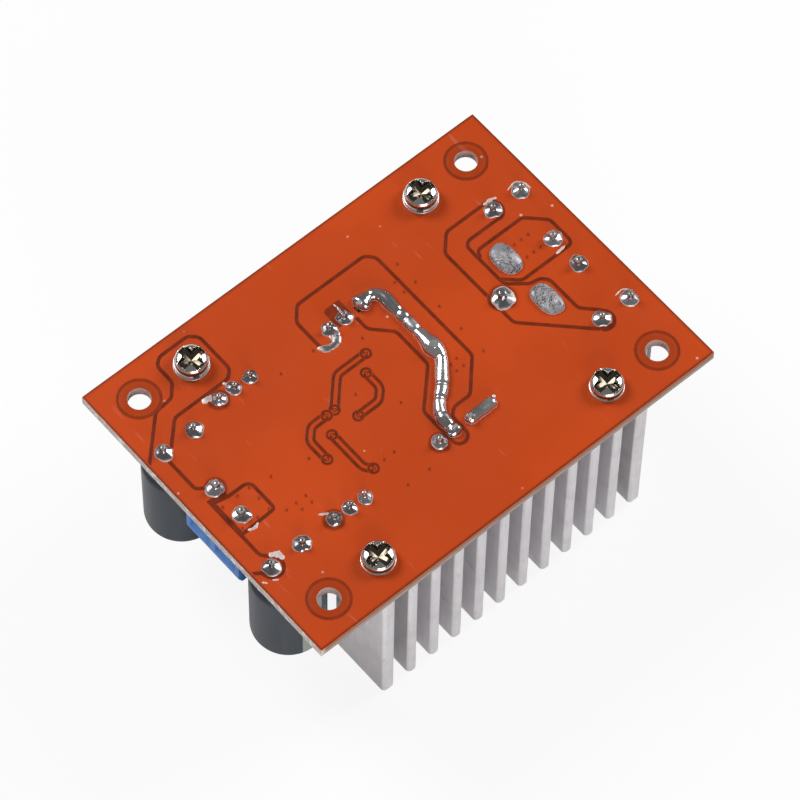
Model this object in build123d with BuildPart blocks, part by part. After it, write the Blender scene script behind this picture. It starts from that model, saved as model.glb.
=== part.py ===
from build123d import *

import os
from math import cos, pi, radians, sin
from typing import NamedTuple

# Boost converter module, solder side up, standing on the ends of its two heatsinks.
# X runs along the board towards the input end, Y across it, Z up. All sizes in millimetres.

# Circuit board
BOARD_LENGTH = 67.0
BOARD_WIDTH = 48.0
BOARD_THICKNESS = 1.6
MOUNT_SPACING_X = 56.0
MOUNT_SPACING_Y = 38.0
MOUNT_HOLE_D = 3.2

# Extruded heatsinks, one along each long edge of the board
SINK_HEIGHT = 25.4
SINK_INNER_Y = 14.0
SINK_TIP_Y = 23.7
SINK_BASE = 3.0
FIN_COUNT = 12
FIN_PITCH = 3.9
FIN_THICKNESS = 1.6
END_FIN_THICKNESS = 2.0
FIN_TIP_CHAMFER = 0.4
CHANNEL_Y = 18.8

# Screws that hold the board to the heatsinks
SINK_SCREW_CORE_D = 2.7
SINK_SCREW_LENGTH = 8.0
SINK_SCREW_HOLE_D = 3.2
SCREW_HEAD_D = 4.6
SCREW_HEAD_HEIGHT = 1.5
SCREW_HEAD_CHAMFER = 0.45
RECESS_SPAN = 3.7
RECESS_WIDTH = 1.15
RECESS_DEPTH = 1.1
RECESS_TAPER = 12.0
SPRING_WASHER_D = 4.6
SPRING_WASHER_THICKNESS = 0.6
SPRING_WASHER_SLIT = 0.5
FLAT_WASHER_D = 5.0
FLAT_WASHER_THICKNESS = 0.3
WASHER_BORE_D = 3.1

# Diode and transistor, each bolted flat to its heatsink
DEVICE_WIDTH = 10.1
DEVICE_LEAD_PITCH = 2.54
DEVICE_LEAD_WIDTH = 0.8
DEVICE_LEAD_DEPTH = 0.5
DEVICE_SHOULDER_WIDTH = 1.3
DEVICE_SHOULDER_LENGTH = 3.0
DEVICE_DROP = 4.6
CASE_HEIGHT = 9.1
CASE_DEPTH = 3.2
CASE_CHAMFER = 0.5
TAB_THICKNESS = 1.3
TAB_REACH = 6.5
TAB_HOLE_D = 3.8
TAB_HOLE_INSET = 2.8
LEAD_SETBACK = 2.65
PAD_THICKNESS = 0.3
PAD_MARGIN = 1.4
CLAMP_SCREW_D = 3.0
CLAMP_HEAD_D = 5.2
CLAMP_HEAD_HEIGHT = 2.0
BUSH_FLANGE_D = 6.0
BUSH_FLANGE_THICKNESS = 0.8

# Toroidal inductor, its ring upright across the board
INDUCTOR_X = 11.95
CORE_OUTER_D = 20.2
CORE_INNER_D = 12.7
CORE_WIDTH = 10.4
CORE_DROP = 1.9
WIRE_D = 1.2
WIRE_GAP = 0.1
TURNS = 16
WINDING_START = 20.0
WINDING_END = 340.0

# Electrolytic capacitors
CAPACITOR_X = 28.1
CAPACITOR_Y = 10.9
CAPACITOR_D = 10.2
CAPACITOR_HEIGHT = 17.0
CAPACITOR_LEAD_PITCH = 5.0
CAPACITOR_LEAD_D = 0.7
CRIMP_HEIGHT = 2.4
CRIMP_DEPTH = 0.55
CRIMP_WIDTH = 1.4
CAN_RIM = 0.7
VENT_LENGTH = 6.6
VENT_WIDTH = 0.35
VENT_DEPTH = 0.2
BUNG_THICKNESS = 0.5

# Two-way screw terminals
TERMINAL_X = 28.8
TERMINAL_PITCH = 5.08
TERMINAL_WIDTH = 10.6
TERMINAL_HEIGHT = 10.0
TERMINAL_FRONT = 2.9
TERMINAL_BACK = 4.4
TERMINAL_ROOF = 1.0
TERMINAL_CHAMFER = 0.6
TERMINAL_PIN = 0.9
CLAMP_OFFSET = 0.4
CLAMP_LENGTH = 4.0
CLAMP_WIDTH = 3.9
CLAMP_HEIGHT = 5.3
CLAMP_WALL = 0.7
TERMINAL_SCREW_D = 2.3
TERMINAL_HEAD_D = 3.7
TERMINAL_HEAD_HEIGHT = 1.2
TERMINAL_HEAD_INSET = 0.2
TERMINAL_SLOT_WIDTH = 0.7
TERMINAL_SLOT_DEPTH = 0.7
GUARD_THICKNESS = 0.4
GUARD_LIP = 0.5

# Blade fuse soldered to the board
FUSE_X = 22.1
FUSE_BLADE_PITCH = 8.1
FUSE_BLADE_WIDTH = 2.8
FUSE_BLADE_THICKNESS = 0.8
FUSE_BODY_WIDTH = 10.9
FUSE_BODY_DEPTH = 3.6
FUSE_BODY_HEIGHT = 8.6
FUSE_SKIRT_WIDTH = 9.4
FUSE_SKIRT_HEIGHT = 4.6
FUSE_DROP = 0.8
FUSE_LINK_WIDTH = 1.0

# Multi-turn trimmers
TRIMMER_X = -17.68
TRIMMER_REAR_Y = 12.2
TRIMMER_FRONT_Y = -10.8
TRIMMER_PIN_PITCH = 2.54
TRIMMER_PIN = 0.5
TRIMMER_PIN_OFFSET = 0.9
TRIMMER_LENGTH = 9.5
TRIMMER_DEPTH = 4.8
TRIMMER_HEIGHT = 9.6
TRIMMER_FOOT = 0.5
TRIMMER_EDGE = 0.3
ADJUSTER_D = 2.3
ADJUSTER_REACH = 3.75
ADJUSTER_PROUD = 1.3
ADJUSTER_DEPTH = 2.5
ADJUSTER_SLOT_WIDTH = 0.55
ADJUSTER_SLOT_DEPTH = 0.7

# Small parts on the component face
CONTROLLER_X = -7.2
CONTROLLER_LENGTH = 9.9
CONTROLLER_LEAD_COUNT = 8
AMPLIFIER_X = -15.6
AMPLIFIER_LENGTH = 4.9
AMPLIFIER_LEAD_COUNT = 4
CHIP_WIDTH = 3.9
CHIP_HEIGHT = 1.5
CHIP_LEAD_PITCH = 1.27
CHIP_LEAD_WIDTH = 0.42
CHIP_LEAD_THICKNESS = 0.22
CHIP_LEAD_REACH = 1.05
CHIP_LEAD_RISE = 0.75
CHIP_LEAD_FOOT = 0.5
CHIP_STANDOFF = 0.1
CHIP_EDGE = 0.3
CHIP_PART_LENGTH = 2.0
CHIP_PART_WIDTH = 1.25
CHIP_PART_HEIGHT = 0.6
CHIP_PARTS_ALONG_Y = [(-11.9, -3.6), (-11.9, 0.4), (-11.9, 4.6), (-2.6, -4.4), (-2.6, -0.6), (-2.6, 3.4)]
CHIP_PARTS_ALONG_X = [(-7.2, 7.4), (-10.4, 7.4), (-7.2, -7.4), (-16.2, 5.2), (-15.4, -5.2)]
LED_SPOT = (-11.0, -7.4)
LENS_LENGTH = 1.2
LENS_TAPER = 8.0
SHUNT_X = -21.6
SHUNT_LENGTH = 6.4
SHUNT_WIDTH = 3.0
SHUNT_HEIGHT = 0.8
SHUNT_ARCH = 0.35
SHUNT_BEND = 60.0

# Leads, their holes and the solder on them
LEAD_PROUD = 1.4
TERMINAL_DRILL_D = 1.4
TERMINAL_JOINT_R = 1.3
DEVICE_DRILL_D = 1.1
DEVICE_JOINT_R = 1.05
TRIMMER_DRILL_D = 0.9
TRIMMER_JOINT_R = 1.05
CAPACITOR_DRILL_D = 1.0
CAPACITOR_JOINT_R = 1.3
INDUCTOR_DRILL_D = 1.6
INDUCTOR_JOINT_R = 1.75
BLADE_SLOT_GAP = 0.2
LEAD_SIDES = 6
SMALL_ROUND_SIDES = 12
HEAD_SIDES = 16
CAN_SIDES = 24
CORE_SIDES = 32
HIDDEN_ROUND_SIDES = 8
DRILL_SIDES = 4
FIT_GAP = 0.05
SLIDE_GAP = 0.1
SOLDER_GAP = 0.03
JOINT_TAPER = 34.0
FUSE_JOINT_LENGTH = 5.2
FUSE_JOINT_WIDTH = 3.3
FUSE_JOINT_HEIGHT = 0.8
FUSE_JOINT_CORNER = 1.1
RUN_WIDTH = 1.8
RUN_CREST_WIDTH = 1.08
RUN_HEIGHT = 0.9
RUN_SHOULDER = 0.55
RUN_FIRST_BEND_Y = -2.0
RUN_SECOND_BEND = (0.6, -7.0)
RUN_THIRD_BEND_Y = -8.6
RUN_BLOB_R = 1.9
RUN_BLOB_HEIGHT = 1.3
RUN_BLOB_TAPER = 30.0
BAR_TAPER = 20.0
BAR_OVERHANG = 0.6
BAR_CORNER = 0.45
BAR_LENGTH = 5.3
BAR_HEIGHT = 1.1

# Heights and places that follow from the sizes above
COMPONENT_Z = SINK_HEIGHT
SOLDER_Z = COMPONENT_Z + BOARD_THICKNESS
LEAD_END_Z = SOLDER_Z + LEAD_PROUD
CHANNEL_X = (FIN_COUNT / 2 - 1) * FIN_PITCH
CHANNEL_D = SINK_SCREW_CORE_D + 2 * FIT_GAP
SINK_SCREW_POINTS = [(sx * CHANNEL_X, sy * CHANNEL_Y) for sx in (-1, 1) for sy in (-1, 1)]
TAB_BACK_Y = SINK_INNER_Y - PAD_THICKNESS
TAB_FACE_Y = TAB_BACK_Y - TAB_THICKNESS
DEVICE_Y = TAB_BACK_Y - LEAD_SETBACK
CASE_TOP_Z = COMPONENT_Z - DEVICE_DROP
DEVICE_HEIGHT = CASE_HEIGHT + TAB_REACH
TAB_END_Z = CASE_TOP_Z - DEVICE_HEIGHT
TAB_HOLE_Z = TAB_END_Z + TAB_HOLE_INSET
FLANGE_Y = TAB_FACE_Y - BUSH_FLANGE_THICKNESS
CLAMP_HOLE_D = CLAMP_SCREW_D + 2 * FIT_GAP
INDUCTOR_LEAD_X = CORE_WIDTH / 2 + WIRE_GAP + WIRE_D / 2 + FIT_GAP
WIRE_OUTER_R = CORE_OUTER_D / 2 + WIRE_GAP + WIRE_D / 2
WIRE_INNER_R = CORE_INNER_D / 2 - WIRE_GAP - WIRE_D / 2
CORE_Z = COMPONENT_Z - CORE_DROP - CORE_OUTER_D / 2
TERMINAL_FLOOR_Z = COMPONENT_Z - TERMINAL_HEIGHT
CLAMP_X = TERMINAL_X - CLAMP_OFFSET
CLAMP_TOP_Z = COMPONENT_Z - TERMINAL_ROOF - SLIDE_GAP
CLAMP_FLOOR_Z = CLAMP_TOP_Z - CLAMP_HEIGHT
GUARD_Z = CLAMP_FLOOR_Z + CLAMP_WALL + GUARD_LIP
FUSE_TOP_Z = COMPONENT_Z - FUSE_DROP
TRIMMER_TOP_Z = COMPONENT_Z - TRIMMER_FOOT
TRIMMER_FLOOR_Z = TRIMMER_TOP_Z - TRIMMER_HEIGHT


class Lead(NamedTuple):
    """Leads of one kind: section, drilled width, joint radius and the points where they pass the board."""

    width: float
    depth: float
    drill_d: float
    drill_sides: int
    joint_r: float
    points: list
    shared: list


def in_row(x, y, pitch, count):
    """Points of a row along X, centred on x."""
    return [(x + (i - (count - 1) / 2) * pitch, y) for i in range(count)]


CAPACITOR_SPOTS = {
    f"{end}_capacitor_{side}": (sx * CAPACITOR_X, sy * CAPACITOR_Y)
    for end, sx in (("input", 1), ("output", -1))
    for side, sy in (("front", -1), ("rear", 1))
}
CAPACITOR_LEAD_POINTS = [
    point for x, y in CAPACITOR_SPOTS.values() for point in in_row(x, y, CAPACITOR_LEAD_PITCH, 2)
]
TERMINAL_POINTS = [(sx * TERMINAL_X, sy * TERMINAL_PITCH / 2) for sx in (-1, 1) for sy in (-1, 1)]
REAR_DEVICE_POINTS = in_row(0, DEVICE_Y, DEVICE_LEAD_PITCH, 3)
FRONT_DEVICE_POINTS = in_row(0, -DEVICE_Y, DEVICE_LEAD_PITCH, 3)
TRIMMER_POINTS = in_row(TRIMMER_X, TRIMMER_REAR_Y, TRIMMER_PIN_PITCH, 3) + in_row(
    TRIMMER_X, TRIMMER_FRONT_Y, TRIMMER_PIN_PITCH, 3
)
INDUCTOR_POINTS = [(INDUCTOR_X - INDUCTOR_LEAD_X, 0), (INDUCTOR_X + INDUCTOR_LEAD_X, 0)]
FUSE_POINTS = [(FUSE_X, sy * FUSE_BLADE_PITCH / 2) for sy in (-1, 1)]

# The solder run covers the rear device's last lead, one inductor lead and the front device's middle
# lead, and the solder bar covers the front device's last lead.
SQUARE_LEADS = [
    Lead(TERMINAL_PIN, TERMINAL_PIN, TERMINAL_DRILL_D, DRILL_SIDES, TERMINAL_JOINT_R, TERMINAL_POINTS, []),
    Lead(
        DEVICE_LEAD_WIDTH,
        DEVICE_LEAD_DEPTH,
        DEVICE_DRILL_D,
        DRILL_SIDES,
        DEVICE_JOINT_R,
        REAR_DEVICE_POINTS[:2] + FRONT_DEVICE_POINTS[:1],
        REAR_DEVICE_POINTS[2:] + FRONT_DEVICE_POINTS[1:],
    ),
    Lead(TRIMMER_PIN, TRIMMER_PIN, TRIMMER_DRILL_D, DRILL_SIDES, TRIMMER_JOINT_R, TRIMMER_POINTS, []),
]
ROUND_LEADS = [
    Lead(
        CAPACITOR_LEAD_D,
        CAPACITOR_LEAD_D,
        CAPACITOR_DRILL_D,
        DRILL_SIDES,
        CAPACITOR_JOINT_R,
        CAPACITOR_LEAD_POINTS,
        [],
    ),
    Lead(
        WIRE_D,
        WIRE_D,
        INDUCTOR_DRILL_D,
        LEAD_SIDES,
        INDUCTOR_JOINT_R,
        INDUCTOR_POINTS[1:],
        INDUCTOR_POINTS[:1],
    ),
]
RUN_POINTS = [
    (REAR_DEVICE_POINTS[2][0], DEVICE_Y),
    (INDUCTOR_POINTS[0][0], DEVICE_Y),
    (INDUCTOR_POINTS[0][0], RUN_FIRST_BEND_Y),
    RUN_SECOND_BEND,
    (0, RUN_THIRD_BEND_Y),
    (0, -DEVICE_Y - RUN_WIDTH / 2),
]
BAR_START_X = FRONT_DEVICE_POINTS[2][0] - BAR_OVERHANG


def keep(piece, name):
    """Labels a finished piece and writes its STEP file."""
    piece.part.label = name
    export_step(piece.part, f"parts/{name}.step")


def turned_copy(piece):
    """The same piece at the other end of the board, turned half round the centre."""
    with BuildPart() as copy:
        add(piece.part, rotation=(0, 0, 180))
    return copy


def moved_copy(piece, spot):
    """The same piece moved to a spot in the plan."""
    with BuildPart() as copy:
        add(Pos(spot[0], spot[1], 0) * piece.part)
    return copy


def flipped_copy(piece):
    """The mirror image of a piece across the board's length."""
    with BuildPart() as copy:
        mirror(piece.part, about=Plane.XZ)
    return copy


def small_round(diameter, sides=SMALL_ROUND_SIDES, mode=Mode.ADD):
    """A small round section drawn with few sides, its flats a diameter apart and square to X and Y."""
    turn = 180 / sides if sides % 4 == 0 else 0
    return RegularPolygon(diameter / 2, sides, major_radius=False, rotation=turn, mode=mode)


def turned_width(diameter):
    """Width over the corners of a lead's section, the room that it needs however it is turned."""
    return diameter / cos(pi / LEAD_SIDES)


def make_board():
    """Drilled glass-fibre board with slots for the fuse blades."""
    with BuildPart() as board:
        with BuildSketch(Plane.XY.offset(COMPONENT_Z)):
            Rectangle(BOARD_LENGTH, BOARD_WIDTH)
            with GridLocations(MOUNT_SPACING_X, MOUNT_SPACING_Y, 2, 2):
                Circle(MOUNT_HOLE_D / 2, mode=Mode.SUBTRACT)
            with Locations(*SINK_SCREW_POINTS):
                small_round(SINK_SCREW_HOLE_D, LEAD_SIDES, mode=Mode.SUBTRACT)
            for lead in SQUARE_LEADS + ROUND_LEADS:
                with Locations(*lead.points, *lead.shared):
                    small_round(lead.drill_d, lead.drill_sides, mode=Mode.SUBTRACT)
            with Locations(*FUSE_POINTS):
                Rectangle(
                    FUSE_BLADE_THICKNESS + 2 * BLADE_SLOT_GAP,
                    FUSE_BLADE_WIDTH + 2 * BLADE_SLOT_GAP,
                    mode=Mode.SUBTRACT,
                )
        extrude(amount=BOARD_THICKNESS)
    return board


def make_rear_heatsink():
    """Comb extrusion with screw channels beside its end fins and a tapped hole for the clamp screw."""
    fins_y = (SINK_INNER_Y + SINK_BASE + SINK_TIP_Y) / 2
    fin_length = SINK_TIP_Y - SINK_INNER_Y - SINK_BASE
    end_shift = (END_FIN_THICKNESS - FIN_THICKNESS) / 2
    last_x = (FIN_COUNT - 1) / 2 * FIN_PITCH
    with BuildPart() as sink:
        with BuildSketch():
            with Locations((0, SINK_INNER_Y + SINK_BASE / 2)):
                Rectangle(2 * (last_x + FIN_THICKNESS / 2 + 2 * end_shift), SINK_BASE)
            with Locations((0, fins_y)):
                with GridLocations(FIN_PITCH, 0, FIN_COUNT, 1):
                    Rectangle(FIN_THICKNESS, fin_length)
                with GridLocations(2 * (last_x + end_shift), 0, 2, 1):
                    Rectangle(END_FIN_THICKNESS, fin_length)
            with Locations((-CHANNEL_X, CHANNEL_Y), (CHANNEL_X, CHANNEL_Y)):
                small_round(CHANNEL_D, HIDDEN_ROUND_SIDES, mode=Mode.SUBTRACT)
        extrude(amount=SINK_HEIGHT)
        tips = sink.edges().filter_by(Axis.Z).group_by(Axis.Y)[-1]
        chamfer(tips, FIN_TIP_CHAMFER)
        with BuildSketch(Plane.XZ.offset(-SINK_INNER_Y)):
            with Locations((0, TAB_HOLE_Z)):
                small_round(CLAMP_HOLE_D, HIDDEN_ROUND_SIDES)
        extrude(amount=-(SINK_BASE + CLAMP_SCREW_D / 2), mode=Mode.SUBTRACT)
    return sink


def cross_recess():
    """Outline of a cross recess, drawn in the sketch in which it is called."""
    Rectangle(RECESS_SPAN, RECESS_WIDTH)
    Rectangle(RECESS_WIDTH, RECESS_SPAN)


def make_heatsink_screws():
    """Pan-head screws with a cross recess, seated on their washers."""
    seat_z = SOLDER_Z + FLAT_WASHER_THICKNESS + SPRING_WASHER_THICKNESS
    top_z = seat_z + SCREW_HEAD_HEIGHT
    with BuildPart() as screws:
        with BuildSketch(Plane.XY.offset(seat_z)):
            with Locations(*SINK_SCREW_POINTS):
                small_round(SCREW_HEAD_D, HEAD_SIDES)
        extrude(amount=SCREW_HEAD_HEIGHT)
        rims = screws.faces().group_by(Axis.Z)[-1].edges()
        chamfer(rims, SCREW_HEAD_CHAMFER)
        with BuildSketch(Plane.XY.offset(top_z)):
            with Locations(*SINK_SCREW_POINTS):
                cross_recess()
        extrude(amount=-RECESS_DEPTH, taper=RECESS_TAPER, mode=Mode.SUBTRACT)
        with BuildSketch(Plane.XY.offset(seat_z)):
            with Locations(*SINK_SCREW_POINTS):
                small_round(SINK_SCREW_CORE_D, HIDDEN_ROUND_SIDES)
        extrude(amount=-SINK_SCREW_LENGTH)
    return screws


def make_flat_washers():
    """Plain washers on the solder face."""
    with BuildPart() as washers:
        with BuildSketch(Plane.XY.offset(SOLDER_Z)):
            with Locations(*SINK_SCREW_POINTS):
                small_round(FLAT_WASHER_D)
                small_round(WASHER_BORE_D, LEAD_SIDES, mode=Mode.SUBTRACT)
        extrude(amount=FLAT_WASHER_THICKNESS)
    return washers


def make_spring_washers():
    """Split spring washers between the flat washers and the screw heads."""
    with BuildPart() as washers:
        with BuildSketch(Plane.XY.offset(SOLDER_Z + FLAT_WASHER_THICKNESS)):
            with Locations(*SINK_SCREW_POINTS):
                small_round(SPRING_WASHER_D)
                small_round(WASHER_BORE_D, LEAD_SIDES, mode=Mode.SUBTRACT)
            with Locations(*[(x, y + SPRING_WASHER_D / 2) for x, y in SINK_SCREW_POINTS]):
                Rectangle(SPRING_WASHER_SLIT, SPRING_WASHER_D, rotation=20, mode=Mode.SUBTRACT)
        extrude(amount=SPRING_WASHER_THICKNESS)
    return washers


def make_rear_case():
    """Moulded case of a power device, on the face of its tab."""
    with BuildPart() as case:
        with BuildSketch(Plane.XZ.offset(-TAB_FACE_Y)):
            with Locations((0, CASE_TOP_Z - CASE_HEIGHT / 2)):
                Rectangle(DEVICE_WIDTH, CASE_HEIGHT)
        extrude(amount=CASE_DEPTH)
        chamfer(case.faces().sort_by(Axis.Y)[0].edges(), CASE_CHAMFER)
    return case


def make_rear_leads():
    """Metal tab with its screw hole, and three leads that narrow before they pass the board."""
    with BuildPart() as leads:
        with BuildSketch(Plane.XZ.offset(-TAB_BACK_Y)):
            with Locations((0, CASE_TOP_Z - DEVICE_HEIGHT / 2)):
                Rectangle(DEVICE_WIDTH, DEVICE_HEIGHT)
            with Locations((0, TAB_HOLE_Z)):
                small_round(TAB_HOLE_D, HIDDEN_ROUND_SIDES, mode=Mode.SUBTRACT)
        extrude(amount=TAB_THICKNESS)
        with BuildSketch(Plane.XZ.offset(-DEVICE_Y - DEVICE_LEAD_DEPTH / 2)):
            with Locations((0, (CASE_TOP_Z + LEAD_END_Z) / 2)):
                with GridLocations(DEVICE_LEAD_PITCH, 0, 3, 1):
                    Rectangle(DEVICE_LEAD_WIDTH, LEAD_END_Z - CASE_TOP_Z)
            with Locations((0, CASE_TOP_Z + DEVICE_SHOULDER_LENGTH / 2)):
                with GridLocations(DEVICE_LEAD_PITCH, 0, 3, 1):
                    Rectangle(DEVICE_SHOULDER_WIDTH, DEVICE_SHOULDER_LENGTH)
        extrude(amount=DEVICE_LEAD_DEPTH)
    return leads


def make_insulating_pads():
    """Thin insulating sheets between the tabs and the heatsinks."""
    pad_height = DEVICE_HEIGHT + 2 * PAD_MARGIN
    with BuildPart() as pads:
        for plane in (Plane.XZ.offset(-SINK_INNER_Y), Plane.XZ.offset(TAB_BACK_Y)):
            with BuildSketch(plane):
                with Locations((0, CASE_TOP_Z - DEVICE_HEIGHT / 2)):
                    Rectangle(DEVICE_WIDTH + 2 * PAD_MARGIN, pad_height)
                with Locations((0, TAB_HOLE_Z)):
                    small_round(TAB_HOLE_D, HIDDEN_ROUND_SIDES, mode=Mode.SUBTRACT)
        extrude(amount=PAD_THICKNESS)
    return pads


def make_insulating_bushes():
    """Flanged plastic bushes that keep the clamp screws off the tabs."""
    with BuildPart() as bushes:
        with BuildSketch(Plane.XZ.offset(-TAB_FACE_Y)):
            with Locations((0, TAB_HOLE_Z)):
                small_round(BUSH_FLANGE_D)
        extrude(amount=BUSH_FLANGE_THICKNESS)
        with BuildSketch(Plane.XZ.offset(-TAB_FACE_Y)):
            with Locations((0, TAB_HOLE_Z)):
                small_round(TAB_HOLE_D - 2 * FIT_GAP, HIDDEN_ROUND_SIDES)
        extrude(amount=-TAB_THICKNESS)
        with BuildSketch(Plane.XZ.offset(-FLANGE_Y)):
            with Locations((0, TAB_HOLE_Z)):
                small_round(CLAMP_HOLE_D, HIDDEN_ROUND_SIDES)
        extrude(amount=FLANGE_Y - TAB_BACK_Y, mode=Mode.SUBTRACT)
        mirror(about=Plane.XZ)
    return bushes


def make_clamp_screws():
    """Screws through the bushes and tabs into the tapped heatsink bases."""
    end_y = SINK_INNER_Y + SINK_BASE
    with BuildPart() as screws:
        with BuildSketch(Plane.XZ.offset(-FLANGE_Y)):
            with Locations((0, TAB_HOLE_Z)):
                small_round(CLAMP_HEAD_D)
        extrude(amount=CLAMP_HEAD_HEIGHT)
        with BuildSketch(Plane.XZ.offset(-FLANGE_Y + CLAMP_HEAD_HEIGHT)):
            with Locations((0, TAB_HOLE_Z)):
                cross_recess()
        extrude(amount=-RECESS_DEPTH, taper=RECESS_TAPER, mode=Mode.SUBTRACT)
        with BuildSketch(Plane.XZ.offset(-FLANGE_Y)):
            with Locations((0, TAB_HOLE_Z)):
                small_round(CLAMP_SCREW_D, HIDDEN_ROUND_SIDES)
        extrude(amount=-(end_y - FLANGE_Y))
        mirror(about=Plane.XZ)
    return screws


def make_core():
    """Powder core ring, its axis along the board."""
    with BuildPart() as core:
        with BuildSketch(Plane.YZ.offset(INDUCTOR_X)):
            with Locations((0, CORE_Z)):
                small_round(CORE_OUTER_D, CORE_SIDES)
                small_round(CORE_INNER_D, CORE_SIDES, mode=Mode.SUBTRACT)
        extrude(amount=CORE_WIDTH / 2, both=True)
    return core


def winding_route():
    """Corners of the wire: up from one lead, round the ring turn by turn, and up to the other lead."""
    near_x = INDUCTOR_X - INDUCTOR_LEAD_X
    far_x = INDUCTOR_X + INDUCTOR_LEAD_X

    def spot(x, radius, angle):
        return (x, radius * sin(radians(angle)), CORE_Z + radius * cos(radians(angle)))

    step = (WINDING_END - WINDING_START) / TURNS
    route = [(near_x, 0, LEAD_END_Z), (near_x, 0, CORE_Z + WIRE_OUTER_R)]
    for turn in range(TURNS):
        angle = WINDING_START + turn * step
        route += [
            spot(near_x, WIRE_OUTER_R, angle),
            spot(far_x, WIRE_OUTER_R, angle),
            spot(far_x, WIRE_INNER_R, angle),
            spot(near_x, WIRE_INNER_R, angle),
        ]
    route += [spot(near_x, WIRE_OUTER_R, WINDING_END), spot(far_x, WIRE_OUTER_R, WINDING_END)]
    route += [(far_x, 0, CORE_Z + WIRE_OUTER_R), (far_x, 0, LEAD_END_Z)]
    return route


def make_winding():
    """One enamelled wire wound round the core, its two ends standing up through the board."""
    route = winding_route()
    with BuildPart() as winding:
        with BuildLine() as path:
            Polyline(*route)
        with BuildSketch(Plane(origin=route[0], z_dir=(0, 0, -1))):
            small_round(WIRE_D, LEAD_SIDES)
        sweep(path=path.line, transition=Transition.RIGHT)
    return winding


def make_can():
    """Sleeved aluminium can, closed below with a scored end and crimped above round its bung."""
    end_z = COMPONENT_Z - CAPACITOR_HEIGHT
    crimp_z = COMPONENT_Z - CRIMP_HEIGHT
    sections = [
        (end_z, CAPACITOR_D),
        (crimp_z - CRIMP_WIDTH / 2, CAPACITOR_D),
        (crimp_z, CAPACITOR_D - 2 * CRIMP_DEPTH),
        (crimp_z + CRIMP_WIDTH / 2, CAPACITOR_D),
        (COMPONENT_Z - BUNG_THICKNESS, CAPACITOR_D),
    ]
    with BuildPart() as can:
        for z, diameter in sections:
            with BuildSketch(Plane.XY.offset(z)):
                small_round(diameter, CAN_SIDES)
        loft(ruled=True)
        with BuildSketch(Plane.XY.offset(end_z)):
            Rectangle(VENT_LENGTH, VENT_WIDTH)
            Rectangle(VENT_WIDTH, VENT_LENGTH)
        extrude(amount=VENT_DEPTH, mode=Mode.SUBTRACT)
    return can


def make_bung():
    """Rubber bung that stands out of the can's rolled rim and faces the board."""
    with BuildPart() as bung:
        with BuildSketch(Plane.XY.offset(COMPONENT_Z - BUNG_THICKNESS)):
            small_round(CAPACITOR_D - 2 * CAN_RIM)
        extrude(amount=BUNG_THICKNESS - SLIDE_GAP)
    return bung


def make_capacitor_leads():
    """Two round leads from the bung through the board."""
    start_z = COMPONENT_Z - SLIDE_GAP
    with BuildPart() as leads:
        with BuildSketch(Plane.XY.offset(start_z)):
            with GridLocations(CAPACITOR_LEAD_PITCH, 0, 2, 1):
                small_round(CAPACITOR_LEAD_D, LEAD_SIDES)
        extrude(amount=LEAD_END_Z - start_z)
    return leads


def make_input_housing():
    """Terminal block moulding: two wire entries facing outwards, two screw wells facing down."""
    front_x = TERMINAL_X + TERMINAL_FRONT
    back_x = TERMINAL_X - TERMINAL_BACK
    roof_z = COMPONENT_Z - TERMINAL_ROOF
    pocket_width = CLAMP_WIDTH + 2 * SLIDE_GAP
    pocket_floor = CLAMP_FLOOR_Z - SLIDE_GAP
    entry_floor = CLAMP_FLOOR_Z + CLAMP_WALL
    with BuildPart() as housing:
        with BuildSketch(Plane.XZ):
            with BuildLine():
                Polyline(
                    (back_x, COMPONENT_Z),
                    (front_x, COMPONENT_Z),
                    (front_x, TERMINAL_FLOOR_Z + 2 * TERMINAL_CHAMFER),
                    (front_x - TERMINAL_CHAMFER, TERMINAL_FLOOR_Z),
                    (back_x, TERMINAL_FLOOR_Z),
                    close=True,
                )
            make_face()
        extrude(amount=TERMINAL_WIDTH / 2, both=True)
        with BuildSketch(Plane.XY.offset(pocket_floor)):
            with Locations((CLAMP_X, 0)):
                with GridLocations(0, TERMINAL_PITCH, 1, 2):
                    Rectangle(CLAMP_LENGTH + 2 * SLIDE_GAP, pocket_width)
        extrude(amount=roof_z - pocket_floor, mode=Mode.SUBTRACT)
        with BuildSketch(Plane.YZ.offset(CLAMP_X)):
            with Locations((0, (entry_floor + roof_z) / 2)):
                with GridLocations(TERMINAL_PITCH, 0, 2, 1):
                    Rectangle(pocket_width, roof_z - entry_floor)
        extrude(amount=front_x - CLAMP_X, mode=Mode.SUBTRACT)
        with BuildSketch(Plane.XY.offset(TERMINAL_FLOOR_Z)):
            with Locations((CLAMP_X, 0)):
                with GridLocations(0, TERMINAL_PITCH, 1, 2):
                    small_round(TERMINAL_HEAD_D + 2 * SLIDE_GAP)
        extrude(amount=pocket_floor - TERMINAL_FLOOR_Z, mode=Mode.SUBTRACT)
        with BuildSketch(Plane.XY.offset(roof_z)):
            with Locations((TERMINAL_X, 0)):
                with GridLocations(0, TERMINAL_PITCH, 1, 2):
                    Rectangle(TERMINAL_PIN + 2 * SLIDE_GAP, TERMINAL_PIN + 2 * SLIDE_GAP)
        extrude(amount=TERMINAL_ROOF, mode=Mode.SUBTRACT)
    return housing


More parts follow.
